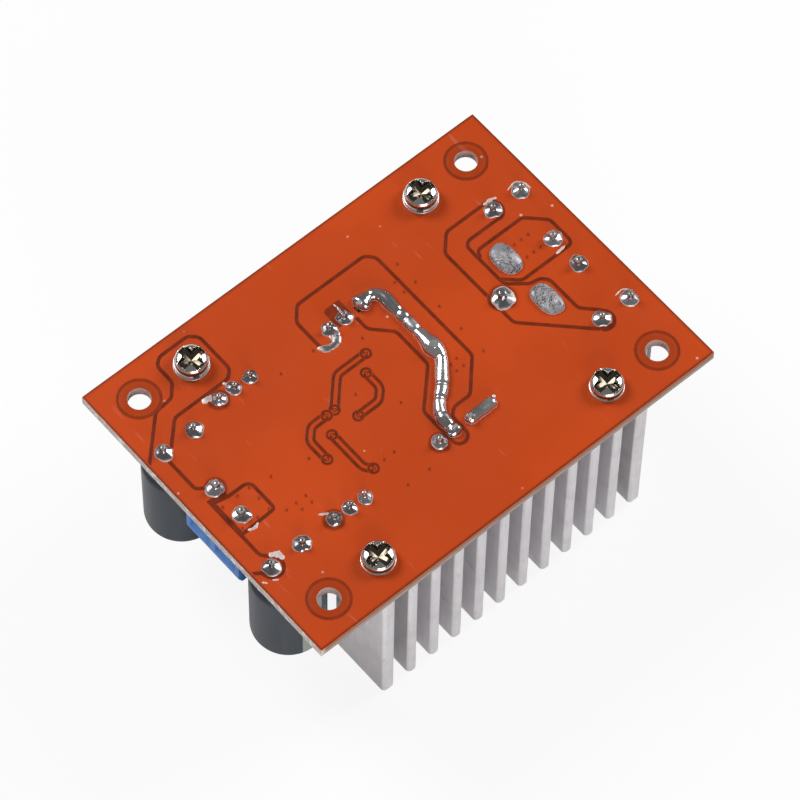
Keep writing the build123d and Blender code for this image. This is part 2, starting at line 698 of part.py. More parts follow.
def make_input_contacts():
    """Two folded brass boxes, open along the wire, each with its pin up through the board."""
    with BuildPart() as contacts:
        with BuildSketch(Plane.YZ.offset(CLAMP_X - CLAMP_LENGTH / 2)):
            with Locations((0, CLAMP_FLOOR_Z + CLAMP_HEIGHT / 2)):
                with GridLocations(TERMINAL_PITCH, 0, 2, 1):
                    Rectangle(CLAMP_WIDTH, CLAMP_HEIGHT)
                    Rectangle(
                        CLAMP_WIDTH - 2 * CLAMP_WALL,
                        CLAMP_HEIGHT - 2 * CLAMP_WALL,
                        mode=Mode.SUBTRACT,
                    )
        extrude(amount=CLAMP_LENGTH)
        with BuildSketch(Plane.XY.offset(CLAMP_FLOOR_Z)):
            with Locations((CLAMP_X, 0)):
                with GridLocations(0, TERMINAL_PITCH, 1, 2):
                    small_round(TERMINAL_SCREW_D + 2 * SLIDE_GAP)
        extrude(amount=CLAMP_WALL, mode=Mode.SUBTRACT)
        with BuildSketch(Plane.XY.offset(CLAMP_TOP_Z)):
            with Locations((TERMINAL_X, 0)):
                with GridLocations(0, TERMINAL_PITCH, 1, 2):
                    Rectangle(TERMINAL_PIN, TERMINAL_PIN)
        extrude(amount=LEAD_END_Z - CLAMP_TOP_Z)
    return contacts


def make_wire_guard(spot):
    """Pressure plate that the screw pushes onto the wire, its ends turned back."""
    width = CLAMP_WIDTH - 2 * CLAMP_WALL - 2 * SLIDE_GAP
    half = CLAMP_LENGTH / 2
    low_z = GUARD_Z - GUARD_LIP + SLIDE_GAP
    with BuildPart() as guard:
        with BuildSketch(Plane.XZ.offset(-spot[1])):
            with BuildLine():
                Polyline(
                    (spot[0] - half, low_z),
                    (spot[0] - half, GUARD_Z + GUARD_THICKNESS),
                    (spot[0] + half, GUARD_Z + GUARD_THICKNESS),
                    (spot[0] + half, low_z),
                    (spot[0] + half - GUARD_THICKNESS, low_z),
                    (spot[0] + half - GUARD_THICKNESS, GUARD_Z),
                    (spot[0] - half + GUARD_THICKNESS, GUARD_Z),
                    (spot[0] - half + GUARD_THICKNESS, low_z),
                    close=True,
                )
            make_face()
        extrude(amount=width / 2, both=True)
    return guard


def make_terminal_screw(spot):
    """Slotted clamp screw in its well, its tip on the pressure plate."""
    head_z = TERMINAL_FLOOR_Z + TERMINAL_HEAD_INSET
    with BuildPart() as screw:
        with BuildSketch(Plane.XY.offset(head_z)):
            with Locations(spot):
                small_round(TERMINAL_HEAD_D)
        extrude(amount=TERMINAL_HEAD_HEIGHT)
        with BuildSketch(Plane.XY.offset(head_z)):
            with Locations(spot):
                Rectangle(TERMINAL_HEAD_D, TERMINAL_SLOT_WIDTH)
        extrude(amount=TERMINAL_SLOT_DEPTH, mode=Mode.SUBTRACT)
        with BuildSketch(Plane.XY.offset(head_z + TERMINAL_HEAD_HEIGHT)):
            with Locations(spot):
                small_round(TERMINAL_SCREW_D)
        extrude(amount=GUARD_Z - FIT_GAP - head_z - TERMINAL_HEAD_HEIGHT)
    return screw


def fuse_element_sketch(grow):
    """Outline of the stamped fuse element, grown by a gap for the slot that holds it."""
    blade_low = FUSE_TOP_Z - FUSE_BODY_HEIGHT + 2 * FUSE_LINK_WIDTH
    blade_mid = (blade_low + LEAD_END_Z) / 2
    link_z = blade_low + FUSE_LINK_WIDTH / 2
    with Locations((0, blade_mid)):
        with GridLocations(FUSE_BLADE_PITCH, 0, 2, 1):
            Rectangle(FUSE_BLADE_WIDTH + 2 * grow, LEAD_END_Z - blade_low + 2 * grow)
    with Locations((0, link_z)):
        Rectangle(FUSE_BLADE_PITCH, FUSE_LINK_WIDTH + 2 * grow)


def make_fuse_element():
    """Two blades and the thin link between them, stamped from one strip."""
    with BuildPart() as element:
        with BuildSketch(Plane.YZ.offset(FUSE_X)):
            fuse_element_sketch(0)
        extrude(amount=FUSE_BLADE_THICKNESS / 2, both=True)
    return element


def make_fuse_body():
    """Moulded fuse body: a wide head and a narrower skirt round the blades."""
    low_z = FUSE_TOP_Z - FUSE_BODY_HEIGHT
    with BuildPart() as body:
        with BuildSketch(Plane.YZ.offset(FUSE_X)):
            with Locations((0, (low_z + FUSE_TOP_Z - FUSE_SKIRT_HEIGHT) / 2)):
                Rectangle(FUSE_BODY_WIDTH, FUSE_BODY_HEIGHT - FUSE_SKIRT_HEIGHT)
            with Locations((0, FUSE_TOP_Z - FUSE_SKIRT_HEIGHT / 2)):
                Rectangle(FUSE_SKIRT_WIDTH, FUSE_SKIRT_HEIGHT)
        extrude(amount=FUSE_BODY_DEPTH / 2, both=True)
        chamfer(body.faces().sort_by(Axis.Z)[0].edges(), CHIP_EDGE)
        with BuildSketch(Plane.YZ.offset(FUSE_X)):
            fuse_element_sketch(FIT_GAP)
        extrude(amount=FUSE_BLADE_THICKNESS / 2 + FIT_GAP, both=True, mode=Mode.SUBTRACT)
    return body


def trimmer_centre(pin_y):
    """Y of a trimmer's body: the pins stand nearer to the side that faces the heatsink."""
    return pin_y - TRIMMER_PIN_OFFSET if pin_y > 0 else pin_y + TRIMMER_PIN_OFFSET


def make_trimmer_case(pin_y):
    """Moulded trimmer case on two feet, with a well for its adjuster."""
    centre_y = trimmer_centre(pin_y)
    with BuildPart() as case:
        with BuildSketch(Plane.XY.offset(TRIMMER_FLOOR_Z)):
            with Locations((TRIMMER_X, centre_y)):
                Rectangle(TRIMMER_LENGTH, TRIMMER_DEPTH)
        extrude(amount=TRIMMER_HEIGHT)
        chamfer(case.edges().filter_by(Axis.Z), TRIMMER_EDGE)
        with BuildSketch(Plane.XY.offset(TRIMMER_TOP_Z)):
            with Locations((TRIMMER_X, centre_y)):
                with GridLocations(TRIMMER_LENGTH - 2 * ADJUSTER_SLOT_WIDTH - 2 * TRIMMER_EDGE, 0, 2, 1):
                    Rectangle(2 * ADJUSTER_SLOT_WIDTH, TRIMMER_DEPTH - 2 * TRIMMER_EDGE)
        extrude(amount=TRIMMER_FOOT)
        with BuildSketch(Plane.XY.offset(TRIMMER_FLOOR_Z)):
            with Locations((TRIMMER_X - ADJUSTER_REACH + TRIMMER_EDGE, centre_y)):
                small_round(ADJUSTER_D + 2 * SLIDE_GAP)
        extrude(amount=ADJUSTER_DEPTH, mode=Mode.SUBTRACT)
    return case


def make_trimmer_pins(pin_y):
    """Three square pins from the trimmer case through the board."""
    with BuildPart() as pins:
        with BuildSketch(Plane.XY.offset(TRIMMER_TOP_Z)):
            with Locations(*in_row(TRIMMER_X, pin_y, TRIMMER_PIN_PITCH, 3)):
                Rectangle(TRIMMER_PIN, TRIMMER_PIN)
        extrude(amount=LEAD_END_Z - TRIMMER_TOP_Z)
    return pins


def make_adjuster(pin_y):
    """Slotted brass adjusting screw that turns in the trimmer's well."""
    spot = (TRIMMER_X - ADJUSTER_REACH + TRIMMER_EDGE, trimmer_centre(pin_y))
    with BuildPart() as adjuster:
        with BuildSketch(Plane.XY.offset(TRIMMER_FLOOR_Z - ADJUSTER_PROUD)):
            with Locations(spot):
                small_round(ADJUSTER_D)
        extrude(amount=ADJUSTER_PROUD + ADJUSTER_DEPTH - FIT_GAP)
        with BuildSketch(Plane.XY.offset(TRIMMER_FLOOR_Z - ADJUSTER_PROUD)):
            with Locations(spot):
                Rectangle(ADJUSTER_D, ADJUSTER_SLOT_WIDTH)
        extrude(amount=ADJUSTER_SLOT_DEPTH, mode=Mode.SUBTRACT)
    return adjuster


def make_chip(x, length):
    """Moulded chip package under the board, its length along Y."""
    with BuildPart() as chip:
        with BuildSketch(Plane.XY.offset(COMPONENT_Z - CHIP_STANDOFF)):
            with Locations((x, 0)):
                Rectangle(CHIP_WIDTH, length)
        extrude(amount=-CHIP_HEIGHT)
        chamfer(chip.faces().sort_by(Axis.Z)[0].edges(), CHIP_EDGE)
    return chip


def make_chip_leads(x, count):
    """Two rows of leads, sloping from the package's sides down onto the board."""
    exit_z = COMPONENT_Z - CHIP_LEAD_RISE
    inner = CHIP_WIDTH / 2
    foot = inner + CHIP_LEAD_REACH - CHIP_LEAD_FOOT
    outer = inner + CHIP_LEAD_REACH
    with BuildPart() as leads:
        for row in range(count):
            y = (row - (count - 1) / 2) * CHIP_LEAD_PITCH
            with BuildSketch(Plane.XZ.offset(-y)):
                for side in (-1, 1):
                    with BuildLine():
                        Polyline(
                            (x + side * inner, exit_z),
                            (x + side * outer, COMPONENT_Z - CHIP_LEAD_THICKNESS),
                            (x + side * outer, COMPONENT_Z),
                            (x + side * foot, COMPONENT_Z),
                            (x + side * inner, exit_z + CHIP_LEAD_THICKNESS),
                            close=True,
                        )
                    make_face()
            extrude(amount=CHIP_LEAD_WIDTH / 2, both=True)
    return leads


def make_chip_parts():
    """Chip resistors and capacitors soldered flat to the board."""
    with BuildPart() as parts:
        with BuildSketch(Plane.XY.offset(COMPONENT_Z)):
            with Locations(*CHIP_PARTS_ALONG_Y):
                Rectangle(CHIP_PART_WIDTH, CHIP_PART_LENGTH)
            with Locations(*CHIP_PARTS_ALONG_X):
                Rectangle(CHIP_PART_LENGTH, CHIP_PART_WIDTH)
        extrude(amount=-CHIP_PART_HEIGHT)
    return parts


def make_indicator_led():
    """Small lens block with its base, soldered flat to the board."""
    with BuildPart() as led:
        with BuildSketch(Plane.XY.offset(COMPONENT_Z)):
            with Locations(LED_SPOT):
                Rectangle(CHIP_PART_LENGTH, CHIP_PART_WIDTH)
        extrude(amount=-CHIP_PART_HEIGHT / 2)
        with BuildSketch(Plane.XY.offset(COMPONENT_Z - CHIP_PART_HEIGHT / 2)):
            with Locations(LED_SPOT):
                Rectangle(LENS_LENGTH, CHIP_PART_WIDTH)
        extrude(amount=-CHIP_PART_HEIGHT / 2, taper=LENS_TAPER)
    return led


def make_current_shunt():
    """Bent metal strip that stands a little off the board between its two soldered ends."""
    with BuildPart() as shunt:
        with BuildSketch(Plane.YZ.offset(SHUNT_X)):
            with Locations((0, COMPONENT_Z - SHUNT_HEIGHT / 2)):
                Rectangle(SHUNT_LENGTH, SHUNT_HEIGHT)
            with Locations((0, COMPONENT_Z - SHUNT_ARCH / 2)):
                Trapezoid(SHUNT_LENGTH / 2, SHUNT_ARCH, SHUNT_BEND, mode=Mode.SUBTRACT)
        extrude(amount=SHUNT_WIDTH / 2, both=True)
    return shunt


def make_solder_joints():
    """Cone of solder round each lead that has a joint of its own, and ovals round the fuse blades."""
    with BuildPart() as joints:
        for lead in SQUARE_LEADS + ROUND_LEADS:
            with BuildSketch(Plane.XY.offset(SOLDER_Z)):
                with Locations(*lead.points):
                    small_round(2 * lead.joint_r, LEAD_SIDES)
            extrude(amount=lead.joint_r - lead.width / 2, taper=JOINT_TAPER)
        with BuildSketch(Plane.XY.offset(SOLDER_Z)):
            with Locations(*FUSE_POINTS):
                oval = Rectangle(FUSE_JOINT_WIDTH, FUSE_JOINT_LENGTH)
            chamfer(oval.vertices(), FUSE_JOINT_CORNER)
        extrude(amount=FUSE_JOINT_HEIGHT, taper=JOINT_TAPER)
        for lead in SQUARE_LEADS:
            with BuildSketch(Plane.XY.offset(SOLDER_Z)):
                with Locations(*lead.points):
                    Rectangle(lead.width + 2 * SOLDER_GAP, lead.depth + 2 * SOLDER_GAP)
            extrude(amount=LEAD_PROUD, mode=Mode.SUBTRACT)
        for lead in ROUND_LEADS:
            with BuildSketch(Plane.XY.offset(SOLDER_Z)):
                with Locations(*lead.points):
                    small_round(turned_width(lead.width) + 2 * SOLDER_GAP, LEAD_SIDES)
            extrude(amount=LEAD_PROUD, mode=Mode.SUBTRACT)
        with BuildSketch(Plane.XY.offset(SOLDER_Z)):
            with Locations(*FUSE_POINTS):
                Rectangle(FUSE_BLADE_THICKNESS + 2 * SOLDER_GAP, FUSE_BLADE_WIDTH + 2 * SOLDER_GAP)
        extrude(amount=LEAD_PROUD, mode=Mode.SUBTRACT)
    return joints


def make_solder_run():
    """Thick bead of solder laid from the rear device round the inductor lead to the front device."""
    with BuildPart() as run:
        for width, height in ((RUN_WIDTH, RUN_SHOULDER), (RUN_CREST_WIDTH, RUN_HEIGHT)):
            with BuildSketch(Plane.XY.offset(SOLDER_Z)):
                with BuildLine():
                    Polyline(*RUN_POINTS)
                trace(line_width=width)
            extrude(amount=height)
        with BuildSketch(Plane.XY.offset(SOLDER_Z)):
            with Locations(INDUCTOR_POINTS[0]):
                small_round(2 * RUN_BLOB_R)
        extrude(amount=RUN_BLOB_HEIGHT, taper=RUN_BLOB_TAPER)
        with BuildSketch(Plane.XY.offset(SOLDER_Z)):
            with Locations(REAR_DEVICE_POINTS[2], FRONT_DEVICE_POINTS[1]):
                Rectangle(DEVICE_LEAD_WIDTH + 2 * SOLDER_GAP, DEVICE_LEAD_DEPTH + 2 * SOLDER_GAP)
            with Locations(INDUCTOR_POINTS[0]):
                small_round(turned_width(WIRE_D) + 2 * SOLDER_GAP, LEAD_SIDES)
        extrude(amount=LEAD_PROUD, mode=Mode.SUBTRACT)
    return run


def make_solder_bar():
    """Short bead of solder along the board from the front device's last lead."""
    with BuildPart() as bar:
        with BuildSketch(Plane.XY.offset(SOLDER_Z)):
            with Locations((BAR_START_X + BAR_LENGTH / 2, -DEVICE_Y)):
                outline = Rectangle(BAR_LENGTH, RUN_WIDTH)
            chamfer(outline.vertices(), BAR_CORNER)
        extrude(amount=BAR_HEIGHT, taper=BAR_TAPER)
        with BuildSketch(Plane.XY.offset(SOLDER_Z)):
            with Locations(FRONT_DEVICE_POINTS[2]):
                Rectangle(DEVICE_LEAD_WIDTH + 2 * SOLDER_GAP, DEVICE_LEAD_DEPTH + 2 * SOLDER_GAP)
        extrude(amount=LEAD_PROUD, mode=Mode.SUBTRACT)
    return bar


def build_structure():
    """Board, heatsinks and the screws that join them."""
    keep(make_board(), "circuit_board")
    rear = make_rear_heatsink()
    keep(rear, "rear_heatsink")
    keep(flipped_copy(rear), "front_heatsink")
    keep(make_heatsink_screws(), "heatsink_screws")
    keep(make_spring_washers(), "heatsink_spring_washers")
    keep(make_flat_washers(), "heatsink_flat_washers")


def build_power_devices():
    """Diode at the rear, transistor at the front, and what clamps them."""
    case = make_rear_case()
    leads = make_rear_leads()
    keep(case, "diode_case")
    keep(leads, "diode_leads")
    keep(flipped_copy(case), "transistor_case")
    keep(flipped_copy(leads), "transistor_leads")
    keep(make_insulating_pads(), "insulating_pads")
    keep(make_insulating_bushes(), "insulating_bushes")
    keep(make_clamp_screws(), "clamp_screws")


def build_capacitors():
    """Four equal capacitors, each with its can, bung and leads."""
    pieces = {"can": make_can(), "bung": make_bung(), "leads": make_capacitor_leads()}
    for name, spot in CAPACITOR_SPOTS.items():
        for kind, piece in pieces.items():
            keep(moved_copy(piece, spot), f"{name}_{kind}")


def build_terminals():
    """Input and output terminal blocks with their contacts, pressure plates and screws."""
    housing = make_input_housing()
    contacts = make_input_contacts()
    keep(housing, "input_terminal_housing")
    keep(contacts, "input_terminal_contacts")
    keep(turned_copy(housing), "output_terminal_housing")
    keep(turned_copy(contacts), "output_terminal_contacts")
    for end, sx in (("input", 1), ("output", -1)):
        for side, sy in (("front", -1), ("rear", 1)):
            spot = (sx * CLAMP_X, sy * TERMINAL_PITCH / 2)
            keep(make_wire_guard(spot), f"{end}_{side}_wire_guard")
            keep(make_terminal_screw(spot), f"{end}_{side}_terminal_screw")


def build_trimmers():
    """Two trimmers with their pins and adjusters."""
    for side, pin_y in (("rear", TRIMMER_REAR_Y), ("front", TRIMMER_FRONT_Y)):
        keep(make_trimmer_case(pin_y), f"{side}_trimmer_case")
        keep(make_trimmer_pins(pin_y), f"{side}_trimmer_pins")
        keep(make_adjuster(pin_y), f"{side}_trimmer_adjuster")


def build_small_parts():
    """Chips, chip parts, lamp and shunt under the middle of the board."""
    keep(make_chip(CONTROLLER_X, CONTROLLER_LENGTH), "controller_chip")
    keep(make_chip_leads(CONTROLLER_X, CONTROLLER_LEAD_COUNT), "controller_chip_leads")
    keep(make_chip(AMPLIFIER_X, AMPLIFIER_LENGTH), "amplifier_chip")
    keep(make_chip_leads(AMPLIFIER_X, AMPLIFIER_LEAD_COUNT), "amplifier_chip_leads")
    keep(make_chip_parts(), "chip_resistors")
    keep(make_indicator_led(), "indicator_led")
    keep(make_current_shunt(), "current_shunt")


def build_solder():
    """Joints, the long run and the bar on the solder face."""
    keep(make_solder_joints(), "solder_joints")
    keep(make_solder_run(), "solder_run")
    keep(make_solder_bar(), "solder_bar")


def main():
    """Builds every piece and writes it to the parts folder."""
    os.makedirs("parts", exist_ok=True)
    build_structure()
    build_power_devices()
    keep(make_core(), "inductor_core")
    keep(make_winding(), "inductor_winding")
    build_capacitors()
    build_terminals()
    keep(make_fuse_element(), "fuse_element")
    keep(make_fuse_body(), "fuse_body")
    build_trimmers()
    build_small_parts()
    build_solder()


main()
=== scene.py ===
"""Looks of the boost converter module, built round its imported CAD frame. Sizes are in millimetres."""

import logging
import math
from collections.abc import Callable
from dataclasses import dataclass, field
from enum import Enum

import bmesh
import bpy
import numpy as np
from mathutils import Matrix, Vector


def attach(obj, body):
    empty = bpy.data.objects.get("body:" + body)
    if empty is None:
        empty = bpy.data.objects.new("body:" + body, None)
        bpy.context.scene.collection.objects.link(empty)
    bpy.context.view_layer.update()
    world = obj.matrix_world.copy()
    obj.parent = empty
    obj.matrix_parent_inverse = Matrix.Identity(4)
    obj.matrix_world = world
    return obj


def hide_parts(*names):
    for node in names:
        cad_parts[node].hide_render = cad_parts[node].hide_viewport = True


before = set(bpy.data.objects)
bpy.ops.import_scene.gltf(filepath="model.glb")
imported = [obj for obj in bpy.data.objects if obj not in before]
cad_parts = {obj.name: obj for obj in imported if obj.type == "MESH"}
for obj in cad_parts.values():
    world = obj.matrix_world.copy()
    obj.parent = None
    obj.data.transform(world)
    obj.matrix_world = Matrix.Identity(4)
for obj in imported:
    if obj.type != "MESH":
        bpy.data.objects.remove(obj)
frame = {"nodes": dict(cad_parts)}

LOG = logging.getLogger("module")
MM = 0.001
MODULE_BODY = "module"
SOLDER_Z = 27.0
BOARD_HALF_X = 33.5
BOARD_HALF_Y = 24.0
MERGE_NEW = 1e-7
MERGE_COPY = 2e-6
FLAT_ANGLE = math.radians(0.6)
EDGE_ANGLE = math.radians(32.0)

Triple = tuple[float, float, float]
Pair = tuple[float, float]
Piece = bpy.types.Object
Material = bpy.types.Material
Nodes = dict[str, bpy.types.Object]


class Slot(Enum):
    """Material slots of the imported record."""

    MASK = "solder_mask"
    ALUMINIUM = "sink_aluminium"
    NICKEL = "nickel_screw"
    MOULDED = "moulded_black"
    TINNED = "tinned_metal"
    CORE = "core_coating"
    COPPER = "enamelled_copper"
    SLEEVE = "capacitor_sleeve"
    TERMINAL = "terminal_blue"
    FUSE = "fuse_plastic"
    TRIMMER = "trimmer_blue"
    CERAMIC = "chip_ceramic"
    LENS = "lamp_lens"
    SHUNT = "shunt_metal"
    SOLDER = "solder"


class Level:
    """A number carried by a shader socket: Python's operators on it add Math nodes."""

    def __init__(self, book: "NodeBook", socket: bpy.types.NodeSocket) -> None:
        """Keeps the socket and the node book that it belongs to."""
        self.book = book
        self.socket = socket

    def __add__(self, other: "Level | float") -> "Level":
        """Sum."""
        return self.book.maths("ADD", self, other)

    def __mul__(self, other: "Level | float") -> "Level":
        """Product."""
        return self.book.maths("MULTIPLY", self, other)

    def __sub__(self, other: "Level | float") -> "Level":
        """Difference."""
        return self.book.maths("SUBTRACT", self, other)

    def __rsub__(self, other: "Level | float") -> "Level":
        """Difference with the number on the left, as in 1 - mask."""
        return self.book.maths("SUBTRACT", other, self)

    def size(self) -> "Level":
        """The number without its sign."""
        return self.book.maths("ABSOLUTE", self)

    def sine(self) -> "Level":
        """The number's sine."""
        return self.book.maths("SINE", self)

    def least(self, other: "Level | float") -> "Level":
        """The smaller of two numbers."""
        return self.book.maths("MINIMUM", self, other)

    def most(self, other: "Level | float") -> "Level":
        """The larger of two numbers."""
        return self.book.maths("MAXIMUM", self, other)

    def step(self, low: float, high: float) -> "Level":
        """A soft step: 0 below low, 1 above high and a smooth rise between them.

        Args:
            low: where the rise starts.
            high: where it ends; below low it is a fall.

        Returns:
            The stepped number.
        """
        flip = low > high
        span = (high, low) if flip else (low, high)
        made = self.book.node(
            "ShaderNodeMapRange",
            {"interpolation_type": "SMOOTHSTEP"},
            {"Value": self, "From Min": span[0], "From Max": span[1]},
        )
        return 1 - made if flip else made


class NodeBook:
    """Makes the nodes of one material."""

    def __init__(self, tree: bpy.types.NodeTree) -> None:
        """Keeps the node tree."""
        self.tree = tree

    def node(
        self, kind: str, settings: dict | None = None, inputs: dict | None = None, output: int | str = 0
    ) -> Level:
        """One node of any type.

        Args:
            kind: the node's type.
            settings: its attributes.
            inputs: a value or a link for each socket, by name or number.
            output: the socket to hand back.

        Returns:
            The chosen output.
        """
        made = self.tree.nodes.new(kind)
        for name, value in (settings or {}).items():
            setattr(made, name, value)
        for name, value in (inputs or {}).items():
            if isinstance(value, Level):
                self.tree.links.new(value.socket, made.inputs[name])
            else:
                made.inputs[name].default_value = value
        return Level(self, made.outputs[output])

    def maths(self, operation: str, *values: Level | float) -> Level:
        """One Math node on up to three values or links."""
        return self.node("ShaderNodeMath", {"operation": operation}, dict(enumerate(values)))

    def place(self) -> Level:
        """Object coordinates, in metres."""
        return self.node("ShaderNodeTexCoord", output="Object")

    def axes(self, vector: Level | None = None) -> tuple[Level, Level, Level]:
        """The three numbers of a vector, or of the place."""
        vector = vector or self.place()
        parts = [self.node("ShaderNodeSeparateXYZ", inputs={0: vector}, output=i) for i in range(3)]
        return parts[0], parts[1], parts[2]

    def noise(
        self, scale: float, detail: float = 3.0, rough: float = 0.5, vector: Level | None = None, warp: float = 0.0
    ) -> Level:
        """Smooth cloudy noise about 0.5, with scale features to a metre of the vector."""
        sockets = {"Scale": scale, "Detail": detail, "Roughness": rough, "Distortion": warp}
        return self.node("ShaderNodeTexNoise", inputs={"Vector": vector or self.place(), **sockets})

    def grain(self, scale: Triple, detail: float = 2.0, rough: float = 0.5) -> Level:
        """Noise drawn out along the axes: scale features to a metre of each."""
        stretched = self.node("ShaderNodeMapping", inputs={"Vector": self.place(), "Scale": scale})
        return self.noise(1.0, detail, rough, stretched)

    def cells(self, scale: float) -> Level:
        """Distance to the nearest of scattered points."""
        inputs = {"Vector": self.place(), "Scale": scale}
        return self.node("ShaderNodeTexVoronoi", {"feature": "F1"}, inputs, output="Distance")

    def attribute(self, name: str) -> Level:
        """A number stored on the mesh."""
        return self.node("ShaderNodeAttribute", {"attribute_name": name}, output="Fac")

    def blend(self, share: Level | float, first: Level | Triple, second: Level | Triple) -> Level:
        """Mixes two colours.

        Args:
            share: how much of the second colour, 0 to 1.
            first: a colour as three numbers, or a link.
            second: a colour as three numbers, or a link.

        Returns:
            The mixed colour.
        """
        sides = [c if isinstance(c, Level) else (*c, 1.0) for c in (first, second)]
        settings = {"data_type": "RGBA", "blend_type": "MIX", "clamp_factor": True}
        return self.node("ShaderNodeMix", settings, {0: share, 6: sides[0], 7: sides[1]}, output=2)

    def bump(self, height: Level, depth: float, strength: float = 1.0) -> Level:
        """A normal bent by a height, depth in metres for a height of 1."""
        inputs = {"Strength": strength, "Distance": depth, "Height": height}
        return self.node("ShaderNodeBump", inputs=inputs)

    def finish(self, surface: Level, kind: str = "ShaderNodeOutputMaterial") -> None:
        """Ends the tree with its output node."""
        self.tree.links.new(surface.socket, self.tree.nodes.new(kind).inputs["Surface"])

    def close(self, sockets: dict) -> None:
        """Ends the tree with one Principled surface that takes these socket values and links."""
        self.finish(self.node("ShaderNodeBsdfPrincipled", inputs=sockets))


def new_material(name: str) -> tuple[Material, NodeBook]:
    """An empty material with its node book."""
    material = bpy.data.materials.new(name)
    material.use_nodes = True
    material.node_tree.nodes.clear()
    return material, NodeBook(material.node_tree)


def shaded(colour: Triple, share: float) -> Triple:
    """A colour made darker: each of its numbers times a share."""
    return tuple(c * share for c in colour)


class Trace(Enum):
    """How a strip on the board is coloured across its width."""

    GAP = "isolation_gap"
    TRACK = "signal_track"
    RING = "hole_ring"
    PATCH = "bare_patch"
    VIA = "via_dimple_and_joint_shade"
    EDGE = "board_margin"


@dataclass(frozen=True)
class MaskFinish:
    """Glossy orange solder mask: bright over copper, brown-red over bare laminate, pale at the sawn edge.

    The limits in x, y and z are places in metres: where a soft step starts and where it ends.
    """

    copper: Triple = (0.560, 0.060, 0.004)
    bare: Triple = (0.128, 0.013, 0.0)
    edge: Triple = (0.40, 0.31, 0.27)
    burr: Triple = (0.30, 0.085, 0.03)
    pale: Triple = (0.60, 0.50, 0.46)
    fray: Triple = (0.80, 0.76, 0.73)
    wall: Triple = (0.50, 0.36, 0.34)
    dust: Triple = (0.86, 0.62, 0.52)
    roughness: float = 0.36
    streaks: Triple = (900.0, 110.0, 900.0)
    layers: Triple = (380.0, 380.0, 5200.0)
    weave: float = 5200.0
    depth: float = 0.00002
    burr_z: Pair = (0.02595, 0.02635)
    sawn_x: Pair = (0.0334, 0.0333)
    left_x: Pair = (-0.0325, -0.0333)
    hole_x: Pair = (0.0325, 0.0310)
    hole_y: Pair = (0.0235, 0.0225)

    def colour(self, book: NodeBook) -> Level:
        """The mask's colour over copper, with its clouds, rubbed streaks and dust."""
        body = book.blend(book.noise(45.0, 4.0).step(0.35, 0.7), shaded(self.copper, 0.86), self.copper)
        body = book.blend(book.grain(self.streaks).step(0.69, 0.76) * 0.07, body, self.dust)
        specks = book.cells(330.0).step(0.085, 0.045) * book.noise(120.0).step(0.52, 0.6)
        return book.blend(specks * 0.55, body, self.dust)

    def gloss(self, book: NodeBook) -> Level:
        """Roughness, a little higher where the mask was rubbed."""
        return book.noise(160.0, 5.0, 0.6) * 0.16 + (self.roughness - 0.08)

    def relief(self, book: NodeBook) -> Level:
        """The faint weave and orange peel under the mask, as a height."""
        x, y, _ = book.axes()
        return book.noise(520.0, 3.0) * 0.8 + (x * self.weave).sine() * (y * self.weave).sine() * 0.12

    def board(self) -> Material:
        """The whole board: mask on both faces, layered laminate at its sawn edges and in its holes."""
        material, book = new_material("board_mask")
        face = book.axes(book.node("ShaderNodeNewGeometry", output="Normal"))[2].size().step(0.4, 0.6)
        x, y, z = book.axes()
        left = x.step(*self.left_x)
        frayed = book.noise(900.0, 4.0, 0.7).step(0.50, 0.62) * left
        sawn = book.blend(book.grain(self.layers, 3.0).step(0.35, 0.7), shaded(self.edge, 0.62), self.edge)
        for share, colour in (
            (z.step(*self.burr_z) * x.size().step(*self.sawn_x) * 0.75, self.burr),
            (left * 0.65, self.pale),
            (frayed * 0.8, self.fray),
            (x.size().step(*self.hole_x) * y.size().step(*self.hole_y), self.wall),
        ):
            sawn = book.blend(share, sawn, colour)
        book.close(
            {
                "Base Color": book.blend(face, sawn, self.colour(book)),
                "Roughness": self.gloss(book) * face + (1 - face) * 0.8,
                "Coat Weight": face * 0.08,
                "Coat Roughness": 0.12,
                "Specular IOR Level": 0.28,
                "Normal": book.bump(self.relief(book), self.depth, 0.5),
            }
        )
        return material

    def strip(self, trace: Trace) -> Material:
        """The mask where it dips into a gap beside the copper, by the place across a strip.

        Args:
            trace: the kind of strip.

        Returns:
            The material.
        """
        material, book = new_material(f"board_{trace.value}")
        across = book.attribute("across")
        if trace is Trace.TRACK:
            dip = across.size().step(0.26, 0.36) * across.size().step(1.0, 0.90)
        elif trace is Trace.PATCH:
            dip = across.step(1.0, 0.9) * 0.85
        # Vias darken towards the hole; the same fall paints the shade rings round joints.
        elif trace is Trace.VIA:
            dip = across.step(0.95, 0.55) * 0.75
        elif trace is Trace.RING:
            band = across.step(0.64, 0.72) * across.step(1.0, 0.97) * 0.78
            dip = band + across.step(0.68, 0.64) * 0.40 - across.step(0.46, 0.49) * across.step(0.55, 0.52) * 0.16
        elif trace is Trace.EDGE:
            dip = across.step(-1.0, 0.6) * 0.85
        else:
            dip = across.size().step(1.0, 0.80)
        ragged = book.noise(700.0, 3.0).step(0.3, 0.75) * 0.18 + 0.82
        shade = (dip * ragged).least(1.0)
        book.close(
            {
                "Base Color": book.blend(shade, self.colour(book), self.bare),
                "Roughness": self.gloss(book) + shade * 0.08,
                "Coat Weight": 0.04,
                "Coat Roughness": 0.12,
                "Specular IOR Level": 0.20,
                "Normal": book.bump(self.relief(book) - dip * 2.2, self.depth, 0.8),
            }
        )
        return material


